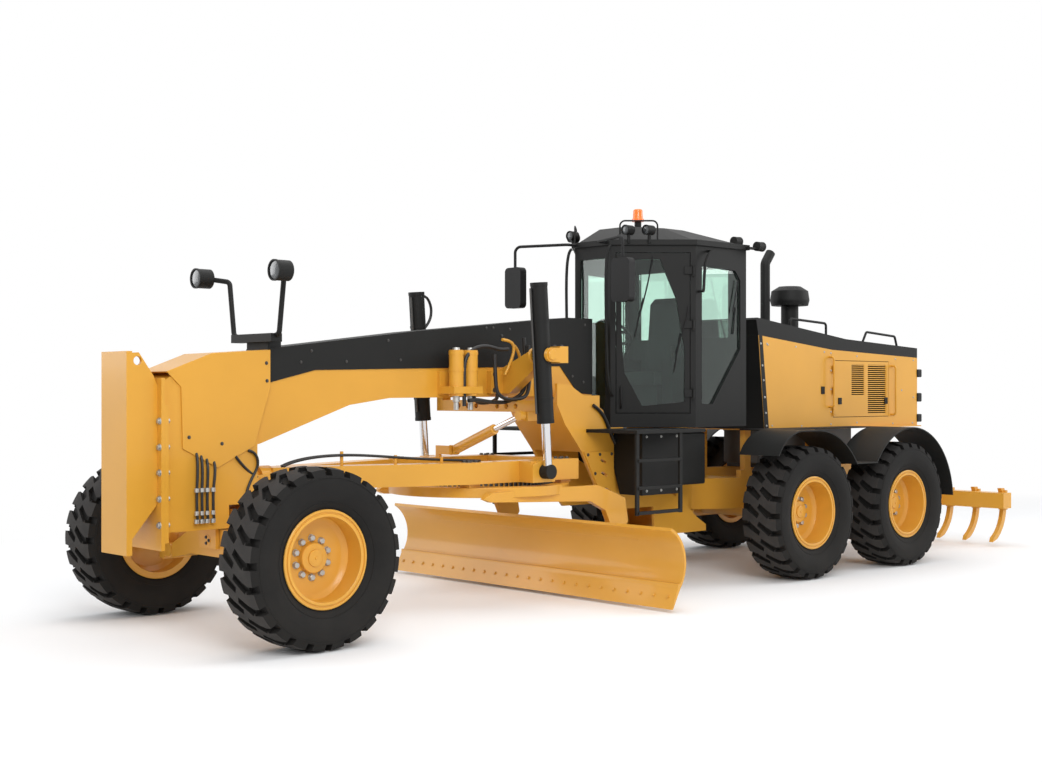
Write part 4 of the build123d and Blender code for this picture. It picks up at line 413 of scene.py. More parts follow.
def finished_tree(tree, given, out, instances):
    """Ends a tree: the instances are made real and take their material."""
    real = tree.nodes.new("GeometryNodeRealizeInstances")
    tree.links.new(instances, real.inputs[0])
    painted = tree.nodes.new("GeometryNodeSetMaterial")
    tree.links.new(real.outputs[0], painted.inputs["Geometry"])
    tree.links.new(given.outputs["Material"], painted.inputs["Material"])
    tree.links.new(painted.outputs[0], out.inputs[0])
    return tree


def with_tree(piece, tree, **values):
    """Runs a Geometry Nodes tree on a piece and keeps the result as its plain mesh."""
    modifier = piece.modifiers.new("pattern", "NODES")
    modifier.node_group = tree
    for socket in tree.interface.items_tree:
        if socket.in_out == "INPUT" and socket.name in values:
            modifier[socket.identifier] = values[socket.name]
    return softened(made_plain(piece), 30)


def new_piece(vertices, faces=()):
    """An unfinished mesh object from points and faces."""
    mesh = bpy.data.meshes.new("piece")
    mesh.from_pydata([tuple(v) for v in vertices], [], list(faces))
    return linked("piece", mesh)


bolt_heads = bolt_tree()


def bolted(name, body, slot, direction, radius, places):
    """A group of bolt heads on one face: places are (x, aft, z), direction points out of the face."""
    turn = Vector((0, 0, 1)).rotation_difference(Vector(direction)).to_euler()
    points = new_piece([spot(*place) for place in places])
    heads = with_tree(points, bolt_heads, Radius=radius, Height=radius, Turn=tuple(turn),
                      Material=FINISHES[slot])
    return settle(heads, name, body, slot)


FINISHES["dark_steel"] = finish("dark_steel", (0.085, 0.083, 0.08), 0.42, dust=0.15, drift=0.2, Metallic=0.7)
FINISHES["zinc"] = finish("zinc_bolts", (0.50, 0.50, 0.48), 0.36, dust=0.05, drift=0.15, Metallic=0.8)
FINISHES["black_paint"] = finish("black_paint", (0.0095, 0.0097, 0.0093), 0.50, dust=0.03, drift=0.12,
                                 bump=0.15, grain=900, Specular_IOR_Level=0.22)


def row(x, start, end, count):
    """Evenly spaced places along a line in a plane of constant x, from (aft, z) to (aft, z)."""
    steps = [i / (count - 1) for i in range(count)]
    return [(x, start[0] + (end[0] - start[0]) * t, start[1] + (end[1] - start[1]) * t) for t in steps]


def ring_of(x, aft, z, radius, count):
    """Places evenly round a centre, in a plane of constant x."""
    turns = [2 * pi * i / count for i in range(count)]
    return [(x, aft + radius * cos(turn), z + radius * sin(turn)) for turn in turns]


FLANGE_FRONT = -0.669
FLANGE_BACK = -0.609
FLANGE_X = 0.222
FLANGE_HEIGHTS = (0.85, 1.04, 1.23, 1.415, 1.605)
EDGE_SLOPE = (0, -0.899, 0.438)
EDGE_FIRST = (-1.75, 3.1372, 0.125)
EDGE_PITCH = 0.152
EDGE_COUNT = 24
SHOE_CIRCLE = 0.535
HEAD_BOLTS = ((0.253, 2.036), (0.258, 1.900), (-0.416, 1.481), (-0.138, 1.428))
BRACKET_BOLTS = ((3.73, 1.06), (3.92, 0.80))
WEB_BOLTS = ((4.03, 1.20), (4.08, 1.145))
groups = [
    ("nose_flange_bolts", "front_frame", "zinc", (0, -1, 0), 0.019,
     [(side * FLANGE_X, FLANGE_FRONT, z) for _, side in SIDES for z in FLANGE_HEIGHTS]),
    ("nose_flange_nuts", "front_frame", "zinc", (0, 1, 0), 0.019,
     [(side * FLANGE_X, FLANGE_BACK, z) for _, side in SIDES for z in FLANGE_HEIGHTS]),
    ("edge_bolts", "moldboard", "yellow_paint", EDGE_SLOPE, 0.014,
     [(EDGE_FIRST[0] + EDGE_PITCH * i, *EDGE_FIRST[1:]) for i in range(EDGE_COUNT)]),
    ("yoke_cap_bolts", "front_frame", "dark_steel", (0, 0, 1), 0.014,
     [(side * x, 2.74, 2.20) for _, side in SIDES for x in (0.70, 0.82, 0.90)]),
    ("drawbar_shoe_bolts", "drawbar", "dark_steel", (0, 0, 1), 0.017,
     [(side * 0.496 + dx, 2.6 + corner * SHOE_CIRCLE + dy, 1.225)
      for _, side in SIDES for corner in (1, -1) for dx in (-0.03, 0.03) for dy in (-0.04, 0.04)]),
]
for side, hand in SIDES:
    groups += [
        (f"head_bolts_{side}", "front_frame", "dark_steel", (hand, 0, 0), 0.010,
         [(hand * 0.202, aft, z) for aft, z in HEAD_BOLTS]),
        (f"gusset_bolts_{side}", "front_frame", "dark_steel", (hand, 0, 0), 0.011,
         row(hand * 0.342, (3.635, 1.235), (3.95, 1.235), 3)
         + [(hand * 0.342, aft, z) for aft, z in BRACKET_BOLTS]
         + [(hand * 0.33, aft, z) for aft, z in WEB_BOLTS]),
        (f"saddle_bolts_{side}", "front_frame", "dark_steel", (hand, 0, 0), 0.016,
         [(hand * 0.21, aft, z) for aft in (2.60, 2.92) for z in (1.83, 1.97)]),
        (f"tandem_case_bolts_{side}", "rear_frame", "dark_steel", (hand, 0, 0), 0.014,
         ring_of(hand * 0.90, 6.559, 0.645, 0.17, 8)),
    ]
for group in groups:
    bolted(*group)


# Dull iron: the front axle's black tie rod screws onto a bare forged stud, and the cast engine block sits
# on its mounts under the hood in the same grey.
dressed("tie_rod", "black_paint", 0.004)
dressed("tie_rod_end", "dark_steel", 0.002)
dressed("engine", "dark_steel", 0.010)


# Tyres: bias-ply traction tyres of black rubber, with 24 bent slots moulded into each side of the tread.
# Running has scuffed the lug tops paler than the walls, which have two thin rings moulded round them.
def turned_shape(outline, segments):
    """Points and faces of an (along, radius) outline turned about the X axis."""
    vertices, faces = [], []
    count = len(outline)
    for step in range(segments):
        angle = 2 * pi * step / segments
        for along, radius in outline:
            vertices.append(Vector((along, -radius * cos(angle), radius * sin(angle))))
    for step in range(segments):
        here, there = step * count, (step + 1) % segments * count
        for i in range(count):
            j = (i + 1) % count
            faces.append((here + i, here + j, there + j, there + i))
    return vertices, faces


def outward(piece):
    """Merges doubled points and turns a closed mesh's faces outwards."""
    soup = bmesh.new()
    soup.from_mesh(piece.data)
    bmesh.ops.remove_doubles(soup, verts=soup.verts, dist=0.00001)
    bmesh.ops.recalc_face_normals(soup, faces=soup.faces)
    soup.to_mesh(piece.data)
    soup.free()
    return piece


def turned(outline, segments, direction, place):
    """A piece turned from an (along, radius) outline, its axis pointed in a direction from a place."""
    piece = outward(new_piece(*turned_shape(outline, segments)))
    turn = Vector((1, 0, 0)).rotation_difference(Vector(direction)).to_matrix().to_4x4()
    piece.data.transform(Matrix.Translation(Vector(place)) @ turn)
    return softened(outward(piece), 30)


def joined(pieces):
    """Joins plain mesh objects into the first one, which keeps its materials."""
    soup = bmesh.new()
    for piece in pieces:
        soup.from_mesh(piece.data)
    keep = pieces[0]
    for other in pieces[1:]:
        bpy.data.objects.remove(other)
    soup.to_mesh(keep.data)
    soup.free()
    return keep


FINISHES["tyre_rubber"] = finish("tyre_rubber", (0.0105, 0.0100, 0.0097), 0.72, dust=0.03, drift=0.2,
                                 bump=0.25, grain=700, patch=5, Specular_IOR_Level=0.2)
worn = finish("worn_rubber", (0.030, 0.028, 0.0275), 0.8, dust=0.08, drift=0.3,
              bump=0.3, grain=700, patch=6, Specular_IOR_Level=0.3)
WORN_FROM = 0.628
WALL_RINGS = ((0.1995, 0.405), (0.2215, 0.574))
RING_PROFILE = ((-0.003, -0.004), (0.003, -0.002), (0.003, 0.002), (-0.003, 0.004))
STATIONS = ("front", "middle", "rear")


def middle_of(node):
    """The centre of a CAD node's bounds."""
    low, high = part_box(node)
    return (low + high) / 2


for station in STATIONS:
    for side, hand in SIDES:
        node = f"tyre_{station}_{side}"
        centre = middle_of(node)
        tyre = broken_edges(merged_copy(node), 0.004, 1, 40)
        for rubber in (FINISHES["tyre_rubber"], worn):
            tyre.data.materials.append(rubber)
        for face in tyre.data.polygons:
            across = face.center - centre
            if sqrt(across.y ** 2 + across.z ** 2) > WORN_FROM and abs(face.normal.x) < 0.5:
                face.material_index = 1
        settle(tyre, node + "_finished", body_of(node), "tyre_rubber", node)
        rings = []
        for end in (1, -1):
            for across, radius in WALL_RINGS:
                ring = [(across + a, radius + b) for a, b in RING_PROFILE]
                rings.append(turned(ring, 96, (end, 0, 0), centre))
        settle(joined(rings), node + "_rings", body_of(node), "tyre_rubber")


# Rims: a rolled three-piece rim with a lock ring round its flange, a flat pressed disc, ten plated nuts on
# washers and a turned cap on the hub. All but the nuts is sprayed yellow.
def ring_tree():
    """Geometry Nodes: copies of a piece turned about an axis through the origin, then moved to a centre."""
    tree = bpy.data.node_groups.new("copies_round_an_axle", "GeometryNodeTree")
    new_socket(tree, "Geometry", "NodeSocketGeometry", "INPUT")
    new_socket(tree, "Count", "NodeSocketInt", "INPUT", 10)
    new_socket(tree, "Axis", "NodeSocketVector", "INPUT", (1, 0, 0))
    new_socket(tree, "Centre", "NodeSocketVector", "INPUT", (0, 0, 0))
    new_socket(tree, "Material", "NodeSocketMaterial", "INPUT")
    new_socket(tree, "Geometry", "NodeSocketGeometry", "OUTPUT")
    nodes, links = tree.nodes, tree.links
    given, out = nodes.new("NodeGroupInput"), nodes.new("NodeGroupOutput")
    stations = nodes.new("GeometryNodeMeshLine")
    stations.inputs["Offset"].default_value = (0, 0, 0)
    links.new(given.outputs["Count"], stations.inputs["Count"])
    index = nodes.new("GeometryNodeInputIndex")
    share = math_node(tree, "DIVIDE", index.outputs[0], given.outputs["Count"])
    turn = nodes.new("ShaderNodeVectorMath")
    turn.operation = "SCALE"
    links.new(given.outputs["Axis"], turn.inputs[0])
    links.new(math_node(tree, "MULTIPLY", share, 2 * pi), turn.inputs["Scale"])
    copies = nodes.new("GeometryNodeInstanceOnPoints")
    links.new(stations.outputs["Mesh"], copies.inputs["Points"])
    links.new(given.outputs["Geometry"], copies.inputs["Instance"])
    links.new(turn.outputs[0], copies.inputs["Rotation"])
    placed = nodes.new("GeometryNodeTransform")
    links.new(copies.outputs[0], placed.inputs["Geometry"])
    links.new(given.outputs["Centre"], placed.inputs["Translation"])
    return finished_tree(tree, given, out, placed.outputs[0])


copies_round_an_axle = ring_tree()
NUT_CIRCLE = 0.140
NUT_COUNT = 10
RIM_BACK = [(-0.182, 0.300), (-0.182, 0.346), (-0.176, 0.352), (-0.166, 0.346), (-0.166, 0.318)]
RIM_LIP = [
    (0.166, 0.318), (0.166, 0.345), (0.169, 0.351), (0.174, 0.352), (0.179, 0.351), (0.182, 0.346),
    (0.182, 0.336), (0.180, 0.334), (0.173, 0.3335), (0.173, 0.3225), (0.179, 0.322), (0.182, 0.319),
    (0.182, 0.303), (0.180, 0.300),
]
NUT_WASHER = [(0, 0.026), (0.004, 0.025), (0.004, 0.0), (0, 0.0)]
NUT_BODY = [(0.004, 0.0), (0.004, 0.0235), (0.022, 0.0235), (0.026, 0.019), (0.026, 0.0)]
HUB_CAP = [(0, 0.0), (0, 0.062), (0.010, 0.060), (0.013, 0.054), (0.013, 0.012), (0.019, 0.009), (0.019, 0.0)]
for station, disc in (("front", -0.031), ("middle", -0.060), ("rear", -0.060)):
    for side, hand in SIDES:
        node = f"rim_{station}_{side}"
        centre = middle_of(f"tyre_{station}_{side}")
        face = disc + 0.024
        outline = RIM_BACK + RIM_LIP + [
            (face + 0.030, 0.300), (face + 0.020, 0.290), (face + 0.003, 0.266), (face, 0.256), (face, 0.118),
            (face + 0.006, 0.112), (face + 0.042, 0.106), (face + 0.046, 0.102), (face + 0.053, 0.066),
            (face + 0.053, 0.0), (disc - 0.015, 0.0), (disc - 0.015, 0.0603), (disc - 0.170, 0.0603),
            (disc - 0.170, 0.098), (disc, 0.118), (disc, 0.260), (disc - 0.030, 0.300),
        ]
        wheel = turned(outline, 96, (hand, 0, 0), centre)
        settle(wheel, node + "_turned", body_of(node), "yellow_paint", node)
        half_step = pi / NUT_COUNT
        nut_place = Vector((hand * face, -NUT_CIRCLE * cos(half_step), NUT_CIRCLE * sin(half_step)))
        nut = joined([turned(profile, sides, (hand, 0, 0), nut_place)
                      for profile, sides in ((NUT_WASHER, 20), (NUT_BODY, 6))])
        nuts = with_tree(nut, copies_round_an_axle, Count=NUT_COUNT, Centre=tuple(centre),
                         Material=FINISHES["zinc"])
        settle(nuts, node + "_nuts", body_of(node), "zinc")
        cap = turned(HUB_CAP, 48, (hand, 0, 0), centre + Vector((hand * (face + 0.052), 0, 0)))
        settle(cap, node + "_cap", body_of(node), "yellow_paint")


# Circle and drawbar: the circle is a steel ring with teeth cut round its bore for the turning pinion.
# Rubber hoses lie along the drawbar in yellow clamp posts, held at both ends.
def held_hoses(name, body, slot, radius, routes, resolution=8):
    """Round hoses or bars through lists of places (x, aft, z), joined into one piece."""
    parts = []
    for route in routes:
        curve = bpy.data.curves.new("route", "CURVE")
        curve.dimensions = "3D"
        curve.bevel_depth = radius
        curve.bevel_resolution = 2
        curve.use_fill_caps = True
        curve.resolution_u = resolution
        line = curve.splines.new("NURBS")
        line.points.add(len(route) - 1)
        for point, place in zip(line.points, route):
            point.co = (*spot(*place), 1)
        line.use_endpoint_u = True
        line.order_u = 4 if len(route) > 3 else len(route)
        parts.append(made_plain(linked("route", curve)))
    hoses = joined(parts)
    hoses.data.materials.clear()
    return settle(softened(hoses, 50), name, body, slot)


def at_x(x, *places):
    """Places (aft, z) in a plane of constant x."""
    return [(x, aft, z) for aft, z in places]


FINISHES["hose_rubber"] = finish("hose_rubber", (0.010, 0.010, 0.0105), 0.42, dust=0.04, drift=0.1,
                                 grain=1200, bump=0.1)
BOX_FACES = [(0, 1, 2, 3), (4, 5, 6, 7), (0, 1, 5, 4), (1, 2, 6, 5), (2, 3, 7, 6), (3, 0, 4, 7)]
TOOTH = ((-0.018, -0.664), (0.018, -0.664), (0.008, -0.634), (-0.008, -0.634))
CIRCLE_CENTRE = (0, 2.6, 0)
tooth = outward(new_piece([(x, y, z) for z in (0.935, 1.01) for x, y in TOOTH], BOX_FACES))
teeth = with_tree(tooth, copies_round_an_axle, Count=84, Axis=(0, 0, 1), Centre=tuple(spot(*CIRCLE_CENTRE)),
                  Material=FINISHES["dark_steel"])
settle(teeth, "circle_teeth", "circle", "dark_steel")
held_hoses("drawbar_hoses", "drawbar", "hose_rubber", 0.011, [
    [(x0 + 0.03, 0.46, 1.232), (x0 + 0.05, 0.58, 1.29), (x1, 0.95, 1.325), (x1 + 0.12, 1.40, 1.28),
     (x1 + 0.20, 1.80, 1.25), (x1 + 0.24, 2.2, 1.232)] for x0, x1 in ((0.06, 0.20), (0.09, 0.23))])
POSTS = ((0.215, 0.95, 1.34), (0.335, 1.40, 1.30), (0.44, 1.80, 1.275))
posts = [[(x, aft, 1.21), (x, aft, top)] for x, aft, top in POSTS]
held_hoses("drawbar_posts", "drawbar", "yellow_paint", 0.014, posts)


# Cylinders: the two that lift the blade are black steel tubes on capped trunnions, with bands that carry
# their pipes. Every rod is ground and hard-chromed, with a painted eye, and keeps its exact solid.
FINISHES["chrome_rod"] = finish("chrome_rod", (0.8, 0.8, 0.81), 0.06, dust=0.0, drift=0.03, bump=0.0,
                                Metallic=1.0)
LIFT_X = 0.82
TRUNNION = (2.592, 2.127)
ROD_EYE = (2.660, 1.137)
SHIFT_EYE = (2.6, 1.61)
SHIFT_EYE_FROM = 0.49
RIPPER_EYE = (9.56, 0.64)
BARREL_BANDS = ((-0.612, 0.075, 0.030), (-0.30, 0.076, 0.022), (0.36, 0.076, 0.022), (0.552, 0.0745, 0.026))
TRUNNION_CAP = [(0, 0.0), (0, 0.046), (0.014, 0.046), (0.020, 0.040), (0.020, 0.0)]
dressed("lift_barrel_left", "black_paint", 0.004)
dressed("lift_barrel_right", "black_paint", 0.004)
for node, paint, eye_place, reach in (
    ("lift_rod_left", "black_paint", ROD_EYE, 0.085), ("lift_rod_right", "black_paint", ROD_EYE, 0.085),
    ("centre_shift_rod", "yellow_paint", SHIFT_EYE, 0.060), ("ripper_rod", "yellow_paint", RIPPER_EYE, 0.060),
):
    rod = frame["nodes"][node]
    rod.data.materials.clear()
    rod.data.materials.append(FINISHES["chrome_rod"])
    rod.data.materials.append(FINISHES[paint])
    eye = spot(0, *eye_place)
    for face in rod.data.polygons:
        across = face.center - eye
        in_eye = sqrt(across.y ** 2 + across.z ** 2) < reach
        face.material_index = int(in_eye and (node != "centre_shift_rod" or face.center.x > SHIFT_EYE_FROM))
    softened(rod, 35)
for side, hand in SIDES:
    barrel = f"lift_barrel_{side}"
    top, eye = spot(hand * LIFT_X, *TRUNNION), spot(hand * LIFT_X, *ROD_EYE)
    down = (eye - top).normalized()
    bands = []
    for place, radius, length in BARREL_BANDS:
        band = [(0, 0.0722), (0, radius), (length, radius), (length, 0.0722)]
        bands.append(turned(band, 40, down, top + down * place))
    settle(joined(bands), f"lift_bands_{side}", barrel, "black_paint")
    pipe_start = Vector((hand * (LIFT_X - 0.02), TRUNNION[0] - 0.082, TRUNNION[1]))
    pipe = [tuple(pipe_start + Vector((0, 0.0685, -0.9976)) * along) for along in (-0.56, -0.2, 0.2, 0.5)]
    held_hoses(f"lift_pipe_{side}", barrel, "dark_steel", 0.010, [pipe])
    caps = [turned(TRUNNION_CAP, 32, (end, 0, 0), spot(hand * LIFT_X + end * 0.1145, *TRUNNION))
            for end in (1, -1)]
    settle(joined(caps), f"trunnion_caps_{side}", barrel, "yellow_paint")


# Hydraulics on the gooseneck: rubber hoses between the valve blocks, the accumulators and the cylinders,
# in loops that leave room for the yoke. A bent yellow bar guards them beside the saddle.
held_hoses("neck_hoses", "front_frame", "hose_rubber", 0.017, [
    at_x(0.330, (2.145, 1.693), (2.142, 1.849), (2.139, 2.018), (2.159, 2.110), (2.246, 2.190),
         (2.368, 2.212), (2.474, 2.201), (2.563, 2.176), (2.650, 2.190)),
    at_x(0.400, (2.427, 2.137), (2.436, 1.980), (2.440, 1.850), (2.470, 1.790), (2.551, 1.750),
         (2.640, 1.748), (2.800, 1.760), (2.835, 1.850), (2.845, 1.984), (2.825, 2.224)),
    at_x(0.360, (2.166, 1.740), (2.252, 1.752), (2.339, 1.735), (2.445, 1.725), (2.570, 1.722),
         (2.640, 1.735), (2.815, 1.800), (2.835, 1.917), (2.825, 2.117), (2.810, 2.290)),
    [(0.33, 2.24, 1.80), (0.33, 2.26, 1.72), (0.30, 2.40, 1.715), (0.26, 2.60, 1.735), (0.20, 2.64, 1.80)],
    at_x(0.345, (3.700, 1.690), (3.800, 1.640), (3.875, 1.556), (3.937, 1.413), (4.000, 1.330)),
])
held_hoses("right_cylinder_hoses", "lift_barrel_right", "hose_rubber", 0.013, [
    at_x(-0.800, (2.610, 2.705), (2.660, 2.700), (2.700, 2.640), (2.720, 2.565), (2.697, 2.464),
         (2.625, 2.400)),
])
held_hoses("hose_guard", "front_frame", "yellow_paint", 0.014, [
    at_x(0.320, (2.589, 2.270), (2.679, 2.262), (2.740, 2.230), (2.715, 2.117), (2.660, 2.030),
         (2.620, 1.960)),
    at_x(0.300, (2.725, 2.235), (2.830, 2.180), (2.830, 2.050), (2.826, 1.990)),
])
ACCUMULATOR_X = 0.30
ACCUMULATORS_AFT = (2.08, 2.24)
LOWER_FITTING = [(0, 0.0), (0, 0.030), (0.05, 0.030), (0.055, 0.022), (0.12, 0.022), (0.12, 0.0)]
UPPER_FITTING = [(0, 0.0), (0, 0.034), (0.022, 0.030), (0.022, 0.0)]
BAND = [(0, 0.0622), (0, 0.066), (0.030, 0.066), (0.030, 0.0622)]
fittings = []
for aft in ACCUMULATORS_AFT:
    fittings.append(turned(LOWER_FITTING, 24, (0, 0, -1), spot(ACCUMULATOR_X, aft, 1.781)))
    fittings.append(turned(UPPER_FITTING, 24, (0, 0, 1), spot(ACCUMULATOR_X, aft, 2.169)))
settle(joined(fittings), "accumulator_fittings", "front_frame", "zinc")
bands = [turned(BAND, 40, (0, 0, 1), spot(ACCUMULATOR_X, aft, z))
         for aft in ACCUMULATORS_AFT for z in (1.99, 2.13)]
settle(joined(bands), "accumulator_bands", "front_frame", "yellow_paint")


# Steering and lean hoses at the frame head: four drop from fittings under the shroud to the axle, held by
# plated clamps half way, and two loop back to the drawbar's ball.
HEAD_X = 0.225
HEAD_HOSES = (
    (-0.354, 1.330, -0.366), (-0.315, 1.310, -0.322), (-0.268, 1.285, -0.278), (-0.205, 1.262, -0.228),
)
drops = [[(0.197, top, z + 0.03), (0.222, top, z), (HEAD_X, (top + low) / 2, 1.15), (HEAD_X, low, 1.087),
          (HEAD_X, low, 0.96), (0.222, low + 0.01, 0.86)] for top, z, low in HEAD_HOSES]
held_hoses("head_hoses", "front_frame", "hose_rubber", 0.011, drops + [
    [(0.20, -0.02, 1.33), (0.205, 0.03, 1.27), (0.19, 0.10, 1.20), (0.17, 0.19, 1.165)],
    [(0.20, 0.09, 1.37), (0.21, 0.15, 1.36), (0.205, 0.185, 1.28), (0.19, 0.17, 1.215), (0.195, 0.10, 1.12),
     (0.195, 0.08, 1.05)],
])
clamps = []
for _, _, low in HEAD_HOSES:
    for z, radius in ((1.075, 0.018), (0.845, 0.019), (0.905, 0.016)):
        clamp = [(0, 0.0), (0, radius), (0.030, radius), (0.030, 0.0)]
        clamps.append(turned(clamp, 12, (0, 0, 1), spot(HEAD_X - 0.0005, low, z)))
settle(joined(clamps), "head_clamps", "front_frame", "zinc")
AXLE_CAP_TURNS = (0, 2.094, 4.188)
bolted("axle_pin_cap_bolts", "front_frame", "dark_steel", (0, -1, 0), 0.010,
       [(0.026 * cos(turn), -0.145, 0.690 + 0.026 * sin(turn)) for turn in AXLE_CAP_TURNS])


# Black sheet: the folded top cover of the gooseneck with its light bar, the fenders, side tanks, ladders
# and the hood's top cover are pressed from thinner plate, bolted down and sprayed satin black.
def seam(places, body, name):
    """A shut seam between two sheets, drawn as a thin dark line of painted shade along places (x, aft, z):
    the shade in the gap, in the hose rubber finish.
    """
    return held_hoses(name, body, "hose_rubber", 0.0022, [[a, b] for a, b in zip(places, places[1:])], 1)


dressed("top_cover", "black_paint", 0.004)
dressed("access_platforms", "black_paint", 0.004)
dressed("hood_cover", "black_paint", 0.010)
dressed("fenders", "black_paint", 0.003)
COVER_X = 0.158
COVER_SEAMS = {
    "front": ((2.775, 2.424), (2.800, 2.330), (2.812, 2.040)),
    "rear": ((3.690, 2.498), (3.700, 2.300), (3.600, 1.909)),
}
COVER_BOLTS = (
    (0.600, 2.050), (1.040, 2.060), (1.464, 2.240), (1.593, 2.081), (2.131, 2.083), (2.547, 2.377),
    (2.628, 2.379), (2.732, 2.312), (2.825, 2.372), (3.616, 1.958), (3.760, 1.905), (0.700, 2.140),
    (3.300, 2.440), (3.780, 2.440),
)
TANK_X = 0.69
TANK_BOLTS = [(aft, z) for aft in (4.05, 4.25, 4.47) for z in (0.90, 1.40)]
for side, hand in SIDES:
    for end, places in COVER_SEAMS.items():
        # The cover seams are thin dark lines of painted shade for the gaps between the sheets.
        seam(at_x(hand * COVER_X, *places), "front_frame", f"cover_seam_{end}_{side}")
    cover_bolts, tank_bolts = at_x(hand * COVER_X, *COVER_BOLTS), at_x(hand * TANK_X, *TANK_BOLTS)
    bolted(f"cover_bolts_{side}", "front_frame", "dark_steel", (hand, 0, 0), 0.009, cover_bolts)
    bolted(f"tank_bolts_{side}", "front_frame", "zinc", (hand, 0, 0), 0.009, tank_bolts)


def soft_box(x, aft, z, width):
    """A box with rounded edges from (low, high) pairs."""
    corners = [spot(a, b, c) for c in z
               for a, b in ((x[0], aft[0]), (x[1], aft[0]), (x[1], aft[1]), (x[0], aft[1]))]
    return broken_edges(outward(new_piece(corners, BOX_FACES)), width, 3)


for side, hand in SIDES:
    chest = soft_box((hand * 0.345, hand * 0.660), (4.575, 4.930), (0.93, 1.425), 0.020)
    settle(chest, f"side_chest_{side}", "front_frame", "black_paint")
TREAD_Z = 1.472
treads = [[(hand * x, 3.64, TREAD_Z), (hand * x, 4.03, TREAD_Z)]
          for _, hand in SIDES for x in (0.40, 0.50, 0.60, 0.70, 0.80, 0.90)]
held_hoses("tread_strips", "front_frame", "black_paint", 0.004, treads, 1)


# Lamps on the light bar and round the cab roof: each has a clear moulded lens, domed a little, in a black
# bowl with a raised rim. Two a side stand over the cab's angled door face.
def on_face(u, w, z):
    """A place on the cab's angled door face: u along it from the front post, w out from it."""
    return (0.235 + 0.6754 * u + 0.7374 * w, 4.045 + 0.7374 * u - 0.6754 * w, z)


FINISHES["lamp_lens"] = finish("lamp_lens", (0.06, 0.065, 0.068), 0.10, dust=0.0, drift=0.1, grain=120,
                               bump=0.5, Metallic=0.3, Coat_Weight=0.6)
FORWARD, BACKWARD = -1, 1
LAMPS = [
    (0.56, 0.092, 2.72, 0.078, FORWARD), (0.60, 5.512, 3.305, 0.046, BACKWARD),
    (0.845, 5.562, 3.24, 0.046, BACKWARD),
]
for along in (0.170, 0.365):
    x, aft, z = on_face(along, 0.025, 3.338)
    LAMPS.append((x, aft - 0.042, z, 0.046, FORWARD))
LENS_PROFILE = ((-0.004, 0.0), (-0.004, 0.88), (0.003, 0.88), (0.009, 0.5), (0.011, 0.0))
GUARD_PROFILE = ((-0.006, 0.90), (-0.006, 1.04), (0.012, 1.04), (0.012, 0.90))
lenses, guards = [], []
for x, aft, z, radius, way in LAMPS:
    lens = [(along, radius * share) for along, share in LENS_PROFILE]
    guard = [(along, radius * share) for along, share in GUARD_PROFILE]
    for hand in (1, -1):
        lenses.append(turned(lens, 32, (0, way, 0), spot(hand * x, aft, z)))
        guards.append(turned(guard, 32, (0, way, 0), spot(hand * x, aft, z)))
settle(joined(lenses), "lamp_lenses", "front_frame", "lamp_lens")
settle(joined(guards), "lamp_guards", "front_frame", "black_paint")


# Engine hood: yellow sheet sides with a black strip up the front edge, slatted doors on three hinges,
# plated cap screws round every panel, small black latches and lamps stacked at the rear corners.
BULKHEAD_BEFORE = 5.93
hood = dressed("hood", "yellow_paint", 0.004)
hood.data.materials.append(FINISHES["black_paint"])
for face in hood.data.polygons:
    if face.normal.y < -0.5 and face.center.y < spot(0, BULKHEAD_BEFORE, 0).y:
        face.material_index = 1
FINISHES["black_plastic"] = finish("black_plastic", (0.009, 0.009, 0.0095), 0.5, dust=0.03, drift=0.1,
                                   grain=1500, bump=0.2, Specular_IOR_Level=0.25)
dressed("hood_door_left", "yellow_paint", 0.0015)
dressed("hood_door_right", "yellow_paint", 0.0015)
STRIP = ((5.783, 2.383), (5.838, 2.378), (5.945, 1.436), (5.872, 1.436))
STRIP_BOLTS = ((5.812, 2.30), (5.838, 2.08), (5.858, 1.93), (5.876, 1.76), (5.893, 1.60), (5.905, 1.47))
HOOD_SCREWS = (
    (5.915, 2.30), (7.018, 2.225), (6.90, 2.235), (6.40, 2.28), (5.93, 2.29), (7.018, 2.039), (7.018, 1.840),
    (7.018, 1.600), (7.018, 1.470), (6.50, 1.46), (6.0, 1.47), (8.20, 1.46), (8.60, 1.46), (8.62, 1.75),
    (8.62, 2.17), (8.25, 2.18), (7.50, 2.20), (7.50, 1.48), (8.378, 1.83),
)
HOOD_SEAMS = (
    ((6.985, 2.262), (6.985, 1.436)), ((8.35, 2.222), (8.35, 1.436)), ((5.90, 1.50), (6.985, 1.50)),
)
REAR_LAMPS = ((1.98, 2.07), (1.70, 1.80), (1.47, 1.56))
REAR_LENSES = ((1.99, 2.06), (1.71, 1.79))
